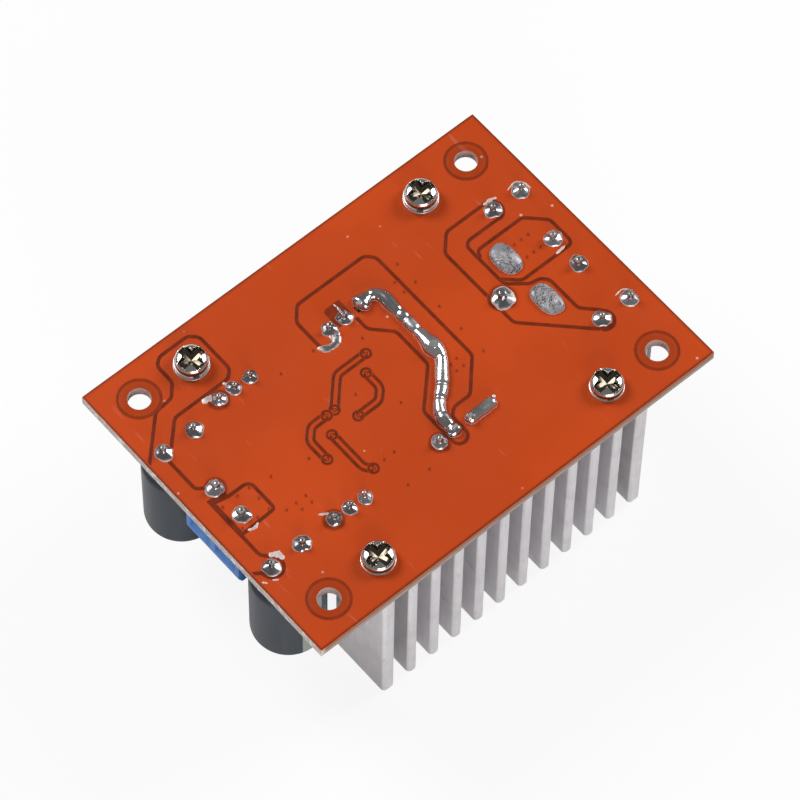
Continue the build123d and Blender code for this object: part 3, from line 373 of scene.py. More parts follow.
@dataclass(frozen=True)
class MetalFinish:
    """Bare or plated metal, tinned if nothing else is said.

    It has grain along one direction, stains, fine scratches, and painted shade in its hollows. How deep a point
    lies in a recess comes from the mesh attribute "across", and the painted shade darkens with it.
    """

    name: str
    colour: Triple = (0.78, 0.78, 0.77)
    stain: Triple = (0.45, 0.43, 0.40)
    roughness: float = 0.32
    grain: Triple = (260.0, 260.0, 260.0)
    grain_depth: float = 0.000006
    stain_share: float = 0.35
    metallic: float = 1.0
    # How much painted shade the hollows take.
    hollow_shade: float = 0.0
    scratches: Triple = (2600.0, 240.0, 320.0)

    def material(self) -> Material:
        """The finish as a material."""
        material, book = new_material(self.name)
        grain = book.grain(self.grain, 4.0, 0.6)
        cloud = book.noise(210.0, 4.0, 0.6)
        scratch = book.grain(self.scratches).step(0.70, 0.76)
        tone = book.blend(cloud.step(0.42, 0.78) * self.stain_share, self.colour, self.stain)
        tone = book.blend(scratch * 0.4, tone, self.stain)
        if self.hollow_shade > 0:
            # Painted shade: the deeper in a recess, the closer to a dark copy of the stain colour.
            depth = book.attribute("across").step(0.04, 0.42) * self.hollow_shade
            tone = book.blend(depth, tone, shaded(self.stain, 0.34))
        book.close(
            {
                "Base Color": book.blend(grain.step(0.3, 0.75) * 0.16, tone, self.stain),
                "Metallic": self.metallic,
                "Roughness": (grain * 0.22 + cloud * 0.14 + (self.roughness - 0.18)).most(0.05),
                "Normal": book.bump(grain + scratch * 0.5, self.grain_depth),
            }
        )
        return material


@dataclass(frozen=True)
class SolderFinish:
    """Solder that froze in ripples, grey in places and cracked if cracks is 1, with flux dried at its foot."""

    name: str
    colour: Triple = (0.84, 0.84, 0.86)
    dull: Triple = (0.30, 0.29, 0.30)
    flux: Triple = (0.78, 0.56, 0.50)
    crack: Triple = (0.05, 0.04, 0.04)
    roughness: float = 0.16
    ripple: float = 0.00002
    cracks: float = 0.0
    metallic: float = 1.0
    flux_top: float = 0.00034
    flux_low: float = 0.00012

    def material(self) -> Material:
        """The finish as a material."""
        material, book = new_material(self.name)
        ripples = book.noise(900.0, 3.0, 0.5, warp=0.4)
        grey = book.noise(520.0, 4.0, 0.6).step(0.46, 0.66)
        crack = (book.noise(900.0, 5.0, 0.7, warp=1.5) - 0.5).size().step(0.030, 0.006) * self.cracks
        crack = crack * book.noise(420.0, 2.0).step(0.38, 0.50)
        high = book.axes()[2] + book.noise(1300.0) * 0.00022
        foot = high.step(SOLDER_Z * MM + self.flux_top, SOLDER_Z * MM + self.flux_low)
        tone = book.blend(grey * 0.6, self.colour, self.dull)
        tone = book.blend(book.noise(150.0, 1.0).step(0.44, 0.60) * 0.6, tone, self.dull)
        tone = book.blend(crack, tone, self.crack)
        book.close(
            {
                "Base Color": book.blend(foot * 0.75, tone, self.flux),
                "Metallic": self.metallic - foot * self.metallic * 0.8,
                "Roughness": grey * 0.20 + foot * 0.25 + crack * 0.3 + self.roughness,
                "Normal": book.bump(ripples - crack * 0.6, self.ripple),
            }
        )
        return material


@dataclass(frozen=True)
class MouldedFinish:
    """Moulded plastic, rubber or resin: a spark-eroded skin, soft mottling and pale scuffs."""

    name: str
    colour: Triple
    shade: Triple
    roughness: float
    skin: float = 2600.0
    skin_depth: float = 0.00001
    scuff: Triple = (0.6, 0.6, 0.6)
    scuff_share: float = 0.12
    coat: float = 0.0
    scuffs: Triple = (1900.0, 260.0, 500.0)

    def material(self) -> Material:
        """The finish as a material."""
        material, book = new_material(self.name)
        skin = book.noise(self.skin, 3.0, 0.6)
        mottle = book.noise(170.0, 4.0, 0.55)
        scuff = book.grain(self.scuffs, 3.0).step(0.66, 0.74)
        tone = book.blend(mottle.step(0.3, 0.72), self.shade, self.colour)
        book.close(
            {
                "Base Color": book.blend(scuff * self.scuff_share, tone, self.scuff),
                "Roughness": skin * 0.12 + mottle * 0.12 + (self.roughness - 0.12),
                "Coat Weight": self.coat,
                "Coat Roughness": 0.08,
                "Normal": book.bump(skin, self.skin_depth),
            }
        )
        return material


@dataclass(frozen=True)
class SleeveFinish:
    """Dark shrunk sleeve of a capacitor: drawn tight, with faint upright pull lines and a paler stripe."""

    name: str
    centre: Pair
    stripe_turn: float
    colour: Triple = (0.032, 0.040, 0.052)
    pale: Triple = (0.30, 0.33, 0.30)
    pull: Triple = (900.0, 900.0, 90.0)
    stripe_half: Pair = (0.0017, 0.0015)

    def material(self) -> Material:
        """The finish as a material, its stripe on the side that stripe_turn names (in degrees)."""
        material, book = new_material(self.name)
        x, y, _ = book.axes()
        c, s = math.cos(math.radians(self.stripe_turn)), math.sin(math.radians(self.stripe_turn))
        dx, dy = x - self.centre[0] * MM, y - self.centre[1] * MM
        stripe = (dy * c - dx * s).size().step(*self.stripe_half) * (dx * c + dy * s).step(0.001, 0.002)
        pull = book.grain(self.pull, 3.0)
        tone = book.blend(pull.step(0.3, 0.7), shaded(self.colour, 0.7), self.colour)
        book.close(
            {
                "Base Color": book.blend(stripe * 0.8, tone, self.pale),
                "Roughness": pull * 0.15 + 0.26,
                "Specular IOR Level": 0.26,
                "Normal": book.bump(pull, 0.00004),
            }
        )
        return material


@dataclass(frozen=True)
class EnamelFinish:
    """Copper winding wire under clear enamel, tinned where it passes into the board."""

    name: str = "wire_enamel"
    colour: Triple = (0.72, 0.24, 0.075)
    dark: Triple = (0.36, 0.09, 0.03)
    tin: Triple = (0.75, 0.75, 0.74)
    tinned_z: Pair = (0.0246, 0.0254)

    def material(self) -> Material:
        """The finish as a material; the stripped and tinned ends start just below the board."""
        material, book = new_material(self.name)
        tinned = (book.axes()[2] + book.noise(900.0) * 0.0008).step(*self.tinned_z)
        cloud = book.noise(420.0, 4.0).step(0.35, 0.75)
        book.close(
            {
                "Base Color": book.blend(tinned, book.blend(cloud * 0.5, self.colour, self.dark), self.tin),
                "Metallic": 1.0,
                "Roughness": cloud * 0.12 + 0.24,
                "Coat Weight": 0.6,
                "Coat Roughness": 0.06,
                "Normal": book.bump(book.noise(700.0), 0.00003),
            }
        )
        return material


def circle(sides: int) -> np.ndarray:
    """Angles spread evenly once round."""
    return np.linspace(0, 2 * np.pi, sides, endpoint=False)


def boxed(value: np.ndarray, power: float) -> np.ndarray:
    """A sine or cosine to a low power, its sign kept: it turns a circle into a rounded rectangle."""
    return np.sign(value) * abs(value) ** power


def unit(vectors: np.ndarray) -> np.ndarray:
    """Rows of vectors brought to length 1."""
    return vectors / np.maximum(np.linalg.norm(vectors, axis=1), 1e-9)[:, None]


def polar(centre: Pair, radius: np.ndarray, angle: np.ndarray, height: np.ndarray | float) -> np.ndarray:
    """Points about an upright axis: (x + radius cos a, y + radius sin a, height)."""
    x, y = centre[0] + radius * np.cos(angle), centre[1] + radius * np.sin(angle)
    return np.stack(np.broadcast_arrays(x, y, height), -1)


def revolved(profile: list[Pair], centre: Pair, sides: int) -> np.ndarray:
    """A profile of radius and height, from pole to pole, carried round an upright axis."""
    shape = np.array(profile, float)
    return polar(centre, shape[:, :1], circle(sides), shape[:, 1:])


def linked(name: str, data: bpy.types.ID) -> Piece:
    """A new object that holds this data, linked to the scene."""
    made = bpy.data.objects.new(name, data)
    bpy.context.scene.collection.objects.link(made)
    return made


def grid_faces(rows: int, columns: int, wrap_rows: bool, wrap_columns: bool, first: int) -> np.ndarray:
    """Quads of a grid of points: each joins a point, the next one along, and the two in the next row.

    Args:
        rows: points along the first parameter.
        columns: points along the second one.
        wrap_rows: the last row joins the first.
        wrap_columns: the last column joins the first.
        first: number of the grid's first point.

    Returns:
        Four point numbers for each quad.
    """
    i = np.arange(rows if wrap_rows else rows - 1)[:, None]
    j = np.arange(columns if wrap_columns else columns - 1)[None, :]
    i_next, j_next = (i + 1) % rows, (j + 1) % columns
    corners = [i * columns + j, i_next * columns + j, i_next * columns + j_next, i * columns + j_next]
    return np.stack([np.broadcast_to(c, (i.size, j.size)) for c in corners], -1).reshape(-1, 4) + first


class Shell:
    """A mesh that is gathered grid by grid, then made into one piece."""

    def __init__(self, name: str) -> None:
        """An empty shell with its piece name."""
        self.name = name
        self.points: list[np.ndarray] = []
        self.quads: list[np.ndarray] = []
        self.across: list[np.ndarray] = []
        self.count = 0

    def add(
        self,
        grid: np.ndarray,
        wrap_rows: bool = False,
        wrap_columns: bool = False,
        across: np.ndarray | None = None,
    ) -> "Shell":
        """Adds one grid of points, in millimetres, and the quads between them.

        Args:
            grid: rows by columns by three numbers.
            wrap_rows: the last row joins the first.
            wrap_columns: the last column joins the first.
            across: a number for each point, kept as the attribute "across".

        Returns:
            This shell.
        """
        rows, columns = grid.shape[:2]
        self.points.append(grid.reshape(-1, 3))
        self.quads.append(grid_faces(rows, columns, wrap_rows, wrap_columns, self.count))
        self.across.append(np.zeros(rows * columns) if across is None else across.ravel())
        self.count += rows * columns
        return self

    def made(self, closed: bool = True, flat_angle: float | None = 50.0) -> Piece:
        """Makes the mesh: doubles merged, normals outward, smooth up to an angle.

        Args:
            closed: a closed shell has its normals worked out; an open sheet is turned to face up.
            flat_angle: edges sharper than this, in degrees, stay sharp; None leaves all smooth.

        Returns:
            The object, linked to the scene.
        """
        mesh = bpy.data.meshes.new(self.name)
        mesh.from_pydata((np.concatenate(self.points) * MM).tolist(), [], np.concatenate(self.quads).tolist())
        layer = mesh.attributes.new("across", "FLOAT", "POINT")
        layer.data.foreach_set("value", np.concatenate(self.across).astype(np.float32))
        work = bmesh.new()
        work.from_mesh(mesh)
        bmesh.ops.remove_doubles(work, verts=work.verts, dist=MERGE_NEW)
        if closed:
            bmesh.ops.recalc_face_normals(work, faces=work.faces)
        else:
            bmesh.ops.reverse_faces(work, faces=[f for f in work.faces if f.normal.z < 0])
        work.to_mesh(mesh)
        work.free()
        mesh.shade_smooth()
        if flat_angle is not None:
            mesh.set_sharp_from_angle(angle=math.radians(flat_angle))
        return linked(self.name, mesh)


def dress(
    piece: Piece, material: Material, body: str = MODULE_BODY, replaces: tuple[str, ...] = ()
) -> Piece:
    """Gives a new piece its material, the body that it rides on and the nodes it stands for.

    Args:
        piece: the new piece.
        material: its finish.
        body: the CAD body.
        replaces: CAD nodes that it stands for.

    Returns:
        The piece.
    """
    piece.data.materials.clear()
    piece.data.materials.append(material)
    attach(piece, body)
    if replaces:
        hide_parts(*replaces)
    LOG.info("%s: %d faces", piece.name, len(piece.data.polygons))
    return piece


def paint(nodes: Nodes, material: Material, *names: str) -> None:
    """Gives CAD nodes a better material and leaves their meshes alone."""
    for name in names:
        nodes[name].data.materials.clear()
        nodes[name].data.materials.append(material)


def softened(node: Piece, name: str, width: float) -> Piece:
    """A copy of a CAD node with merged faces and rounded edges.

    Args:
        node: the CAD node.
        name: the new piece's name.
        width: width of the rounding in millimetres.

    Returns:
        The new piece, with a Bevel modifier.
    """
    mesh = node.data.copy()
    mesh.name = name
    work = bmesh.new()
    work.from_mesh(mesh)
    bmesh.ops.remove_doubles(work, verts=work.verts, dist=MERGE_COPY)
    bmesh.ops.dissolve_limit(
        work, angle_limit=FLAT_ANGLE, verts=work.verts, edges=work.edges, use_dissolve_boundaries=False
    )
    work.to_mesh(mesh)
    work.free()
    mesh.shade_smooth()
    mesh.set_sharp_from_angle(angle=EDGE_ANGLE)
    piece = linked(name, mesh)
    bevel = piece.modifiers.new("rounding", "BEVEL")
    bevel.width = width * MM
    bevel.segments = 2
    bevel.limit_method = "ANGLE"
    bevel.angle_limit = EDGE_ANGLE
    bevel.harden_normals = True
    return piece


def cover(nodes: Nodes, node: str, name: str, width: float, material: Material) -> Piece:
    """Makes and dresses a softened copy that stands for a CAD node.

    Args:
        nodes: the CAD nodes.
        node: the CAD node's name.
        name: the new piece's name.
        width: width of the rounding in millimetres.
        material: its finish.

    Returns:
        The new piece.
    """
    return dress(softened(nodes[node], name, width), material, replaces=(node,))


def reshape(piece: Piece, rule: Callable[[np.ndarray], np.ndarray]) -> None:
    """Moves a copy's points by a rule on the whole array, in millimetres."""
    points = np.empty(len(piece.data.vertices) * 3, np.float32)
    piece.data.vertices.foreach_get("co", points)
    moved = rule(points.reshape(-1, 3) / MM) * MM
    piece.data.vertices.foreach_set("co", moved.astype(np.float32).ravel())
    piece.data.update()


def rounded_path(points: tuple | list, radius: float, closed: bool = False) -> np.ndarray:
    """A line through corner points with each corner rounded.

    Each corner is replaced by a parabola from a point a radius (or under half the side) before it to
    one as far after it: start (1-t)^2 + corner 2t(1-t) + end t^2.

    Args:
        points: the corners.
        radius: how far before and after a corner the rounding reaches.
        closed: the last point joins the first.

    Returns:
        The points of the line.
    """
    p = np.array(points, float)

    def towards(other: np.ndarray) -> np.ndarray:
        """Points on the way from each corner to its neighbour."""
        gap = np.linalg.norm(other - p, axis=1)[:, None]
        return (p + (other - p) * np.minimum(radius, gap * 0.45) / np.maximum(gap, 1e-6))[:, None]

    t = np.linspace(0, 1, 7)[None, :, None]
    before, after = towards(np.roll(p, 1, 0)), towards(np.roll(p, -1, 0))
    curve = before * (1 - t) ** 2 + p[:, None] * 2 * t * (1 - t) + after * t**2
    if closed:
        line = curve.reshape(-1, 2)
        return np.vstack([line, line[:1]])
    return np.vstack([p[:1], curve[1:-1].reshape(-1, 2), p[-1:]])


def evened(line: np.ndarray, spacing: float) -> np.ndarray:
    """The same line with points an even distance apart."""
    run = np.concatenate([[0], np.cumsum(np.linalg.norm(np.diff(line, axis=0), axis=1))])
    at = np.linspace(0, run[-1], max(int(run[-1] / spacing), 2) + 1)
    return np.stack([np.interp(at, run, line[:, k]) for k in (0, 1)], 1)


def sideways(line: np.ndarray, closed: bool = False) -> np.ndarray:
    """Unit vectors in the plane, square to a line at each of its points."""
    if closed:
        along = np.roll(line[:-1], -1, 0) - np.roll(line[:-1], 1, 0)
        along = unit(np.vstack([along, along[:1]]))
    else:
        along = unit(np.gradient(line, axis=0))
    return np.stack([-along[:, 1], along[:, 0]], 1)


def laid(line: np.ndarray, reach: np.ndarray, rise: np.ndarray) -> np.ndarray:
    """A section laid along a line: the line plus its sideways vector times a reach, a rise over the board."""
    flat = line[:, None] + sideways(line)[:, None] * reach[..., None]
    return np.concatenate([flat, (SOLDER_Z + rise)[..., None]], -1)


def closing(place: np.ndarray, share: float) -> np.ndarray:
    """A size that closes as a quarter circle to nothing over this share of a line at both ends."""
    return np.sqrt(1 - (1 - (np.minimum(place, 1 - place) / share).clip(0, 1)) ** 2)


def wavy(angle: np.ndarray, seed: int, count: int, size: float) -> np.ndarray:
    """Sum of cosines of the angle times 1, 2, 3 and so on, with seeded sizes that fall, and seeded phases.

    Args:
        angle: the angles.
        seed: seed of the sizes and phases.
        count: how many cosines.
        size: the most that the first one adds.

    Returns:
        The sum at each angle.
    """
    dice = np.random.default_rng(seed)
    orders = np.arange(1, count + 1)
    sizes, phases = size * dice.uniform(0.4, 1.0, count) / orders, dice.uniform(0, 2 * np.pi, count)
    return np.sum(sizes * np.cos(angle[..., None] * orders + phases), axis=-1)


@dataclass
class BoardFace:
    """What is etched and drilled on the solder face, and painted shade round some joints: strips that lie a hair
    above the board.

    A ring is its inner radius, its outer radius and its sides. An arc is its centre, its radius, and its
    first and last angle in degrees. A row of vias is its first place, the step to the next and the count.
    """

    finish: MaskFinish = field(default_factory=MaskFinish)
    gap_width: float = 0.56
    track_width: float = 1.45
    corner: float = 0.5
    track_corner: float = 0.6
    spacing: float = 0.35
    lift: float = 0.008
    order: float = 0.0004
    margin: float = 0.42
    mount_x: float = 28.0
    mount_y: float = 19.0
    shift: Pair = (-0.2, -0.13)
    end_rings: tuple = ((0.50, 0.86, 28), (0.16, 0.28, 16))
    hole_ring: tuple = (1.62, 3.05, 72)
    # Painted shade round joints: inner radius, outer radius and sides.
    shade_ring: tuple = (0.9, 1.75, 40)
    wide_shade_ring: tuple = (0.9, 2.3, 40)
    dimple: tuple = (0.01, 0.27, 14)
    isolation: tuple = (
        (
            (-33.2, 10.5), (-27.4, 16.25), (-24.6, 16.5), (-22.96, 18.25), (-22.96, 21.4), (-21.9, 22.3),
            (-17.1, 22.3), (-16.0, 21.2), (-16.0, 15.1), (-17.1, 14.0), (-26.1, 14.0), (-29.3, 10.8),
        ),
        ((-30.7, 9.7), (-30.7, 4.2), (-28.9, 3.1)),
        ((-30.5, 1.8), (-30.5, -8.5), (-29.6, -9.4)),
        ((-31.7, -10.7), (-33.2, -9.7)),
        ((-28.2, 0.67), (-25.3, 0.67), (-24.7, 0.1), (-24.7, -4.5), (-30.25, -4.7)),
        (
            (-4.96, 9.9), (-4.96, 14.7), (-3.2, 16.7), (8.3, 16.7), (9.4, 15.5), (9.4, -3.75), (5.3, -8.1),
            (2.5, -8.1), (1.4, -9.0), (1.4, -12.2), (0.6, -12.9), (-0.3, -12.9), (-0.96, -12.2),
            (-0.96, -6.1), (4.1, -1.1), (4.1, 5.3), (1.5, 8.0), (1.5, 10.3),
        ),
        ((25.2, 12.5), (19.0, 12.5), (16.7, 10.1), (16.7, -3.6), (24.75, -11.75), (26.2, -11.9)),
        (
            (26.0, 9.6), (20.2, 9.6), (19.6, 8.9), (19.6, 1.6), (22.25, -0.6), (23.7, -0.8), (24.6, -1.75),
            (24.6, -7.4), (26.8, -9.7),
        ),
        ((19.85, 6.6), (20.3, 7.7), (28.1, 7.7), (30.7, 5.1), (30.7, 0.96), (30.2, 0.46), (21.8, 0.46), (19.8, 2.4)),
    )
    tracks: tuple = (
        ((-1.04, 5.33), (-5.96, 5.33), (-9.6, 1.54)),
        ((-10.9, 1.58), (-13.5, 1.58), (-15.0, 0.04), (-15.0, -3.4)),
        ((-12.2, -1.04), (-12.2, -7.3), (-11.3, -8.25)),
        ((-2.9, 3.1), (-2.9, 0.33), (-4.3, -1.1), (-7.8, -1.1)),
    )
    patches: tuple = (((-0.1, 12.0), 1.5, 1.75),)
    wide: tuple = ((((-30.4, 1.9), (-30.4, -4.6)), 0.86), (((-30.1, 1.35), (-28.1, 0.95)), 1.15))
    arcs: tuple = (
        ((25.73, 11.02), 1.5, 112.0, -98.0), ((25.9, -10.95), 1.45, 78.0, -138.0),
        ((18.1, 0.08), 1.85, 128.0, 232.0), ((-30.4, -10.77), 1.5, 62.0, -190.0),
    )
    # Joints with a ring of painted shade round their feet.
    shaded_joints: tuple = ((-2.54, -11.05), (-20.22, 12.2), (-20.22, -10.8), (-28.8, 2.54), (17.9, 0.0))
    vias: tuple = (
        (-11.6, 10.0), (-0.1, 7.2), (8.6, 10.9), (8.6, 9.0), (10.7, 12.8), (10.7, 9.2), (7.3, -3.0),
        (7.3, -4.4), (6.1, -3.2), (6.1, -4.4), (-2.5, -3.3), (-6.2, 1.4), (-16.9, -1.9), (-22.3, -0.8),
        (-23.9, -5.8), (-22.3, -5.8), (-20.7, -5.8), (-22.3, -7.0), (-20.7, -7.0), (-9.6, -8.3),
        (-7.9, -8.3), (-6.1, -13.1), (-9.7, -13.1), (-6.2, 9.9),
    )
    via_rows: tuple = (
        ((10.7, 4.4), (0.0, -4.4), 3), ((24.4, 5.1), (1.2, 0.0), 3), ((24.4, 2.6), (1.2, 0.0), 3),
        ((-25.5, -0.2), (0.0, -2.0), 3), ((-29.9, -0.2), (2.5, 0.0), 2), ((-29.9, -4.2), (2.5, 0.0), 2),
    )

    def moved(self, points: tuple) -> list[Pair]:
        """Points of the sheet drawing, shifted onto the board's centre."""
        return [(x + self.shift[0], y + self.shift[1]) for x, y in points]

    def level(self, shell: Shell, layer: float) -> float:
        """Height of the next strip: its layer's, and a little more for each one laid before it."""
        return SOLDER_Z + self.lift * layer + self.order * len(shell.points)

    def strip(self, shell: Shell, line: np.ndarray, width: float, layer: int, closed: bool = False) -> None:
        """Adds a flat strip: each point of the line plus the sideways vector times -1 to 1 half widths."""
        place = np.linspace(-1, 1, 9)
        flat = line[:, None] + sideways(line, closed)[:, None] * place[None, :, None] * width / 2
        height = np.full(flat.shape[:2] + (1,), self.level(shell, layer))
        shell.add(np.concatenate([flat, height], -1), across=np.broadcast_to(place, flat.shape[:2]))

    def ring(self, shell: Shell, centre: Pair, band: tuple[float, float, int], layer: float) -> None:
        """Adds a flat ring: radius from inner to outer by angle, across running from 0 to 1 outwards."""
        inner, outer, sides = band
        share = np.linspace(0, 1, 9 if outer > 1 else 4)[:, None]
        grid = polar(centre, inner + (outer - inner) * share, circle(sides), self.level(shell, layer))
        shell.add(grid, wrap_columns=True, across=np.broadcast_to(share, (len(share), sides)))

    def lay(self, shell: Shell, trace: Trace) -> None:
        """Makes one open sheet of strips and dresses it."""
        dress(shell.made(closed=False, flat_angle=None), self.finish.strip(trace))

    def gaps(self) -> None:
        """Isolation gaps between the copper areas, and the copper-free margin round the edge."""
        shell = Shell("isolation_gaps")
        for points in self.isolation:
            line = evened(rounded_path(self.moved(points), self.corner), self.spacing)
            self.strip(shell, line, self.gap_width, 1)
        for points, width in self.wide:
            self.strip(shell, evened(np.array(self.moved(points)), self.spacing), width, 1)
        for (x, y), radius, first, last in self.arcs:
            turn = np.radians(np.linspace(first, last, 40))
            arc = np.stack([x + radius * np.cos(turn), y + radius * np.sin(turn)], 1) + self.shift
            self.strip(shell, arc, self.gap_width, 1)
        self.lay(shell, Trace.GAP)
        rim = Shell("board_margin")
        x, y = BOARD_HALF_X - self.margin / 2, BOARD_HALF_Y - self.margin / 2
        edge = rounded_path([(x, -y), (-x, -y), (-x, y), (x, y)], 0.1, closed=True)
        self.strip(rim, evened(edge, 0.6), self.margin, 2, closed=True)
        self.lay(rim, Trace.EDGE)

    def signal_tracks(self) -> None:
        """Thin tracks with a gap on both sides, and the ringed vias at their ends."""
        shell, rings = Shell("signal_tracks"), Shell("track_end_rings")
        for points in self.tracks:
            line = evened(rounded_path(self.moved(points), self.track_corner), 0.3)
            self.strip(shell, line, self.track_width, 2)
            for end in (line[0], line[-1]):
                for band in self.end_rings:
                    self.ring(rings, tuple(end), band, 3)
        self.lay(shell, Trace.TRACK)
        self.lay(rings, Trace.GAP)

    def hole_rings(self) -> None:
        """Rings of bare laminate round the fixing holes, and rings of painted shade round the feet of some joints.
        """
        shell = Shell("fixing_hole_rings")
        for sx in (-1, 1):
            for sy in (-1, 1):
                self.ring(shell, (sx * self.mount_x, sy * self.mount_y), self.hole_ring, 2)
        self.lay(shell, Trace.RING)
        # Painted shade: dark rings in the via colour, fading outwards from the feet of some joints.
        shade_rings = Shell("joint_painted_shade")
        for spot in self.shaded_joints:
            self.ring(shade_rings, spot, self.shade_ring if spot[0] < 10 else self.wide_shade_ring, 0.5)
        self.lay(shade_rings, Trace.VIA)

    def bare_patches(self) -> None:
        """Small bare areas: a grid of points over each rectangle, across growing to 1 at its border."""
        shell = Shell("bare_patches")
        share = np.linspace(-1, 1, 9)
        u, v = np.meshgrid(share, share, indexing="ij")
        for (x, y), half_x, half_y in self.patches:
            height = np.full(u.shape, SOLDER_Z + self.lift * 0.5)
            shell.add(np.stack([x + u * half_x, y + v * half_y, height], -1), across=np.maximum(abs(u), abs(v)))
        self.lay(shell, Trace.PATCH)

    def via_dimples(self) -> None:
        """Small plated holes, each a mask-covered dimple."""
        shell = Shell("via_dimples")
        spots = list(self.vias)
        for (x, y), (dx, dy), count in self.via_rows:
            spots += [(x + dx * k, y + dy * k) for k in range(count)]
        for spot in spots:
            self.ring(shell, spot, self.dimple, 3)
        self.lay(shell, Trace.VIA)

    def build(self, nodes: Nodes) -> None:
        """Paints the board and lays everything on its solder face."""
        paint(nodes, self.finish.board(), "circuit_board")
        self.bare_patches()
        self.gaps()
        self.signal_tracks()
        self.hole_rings()
        self.via_dimples()


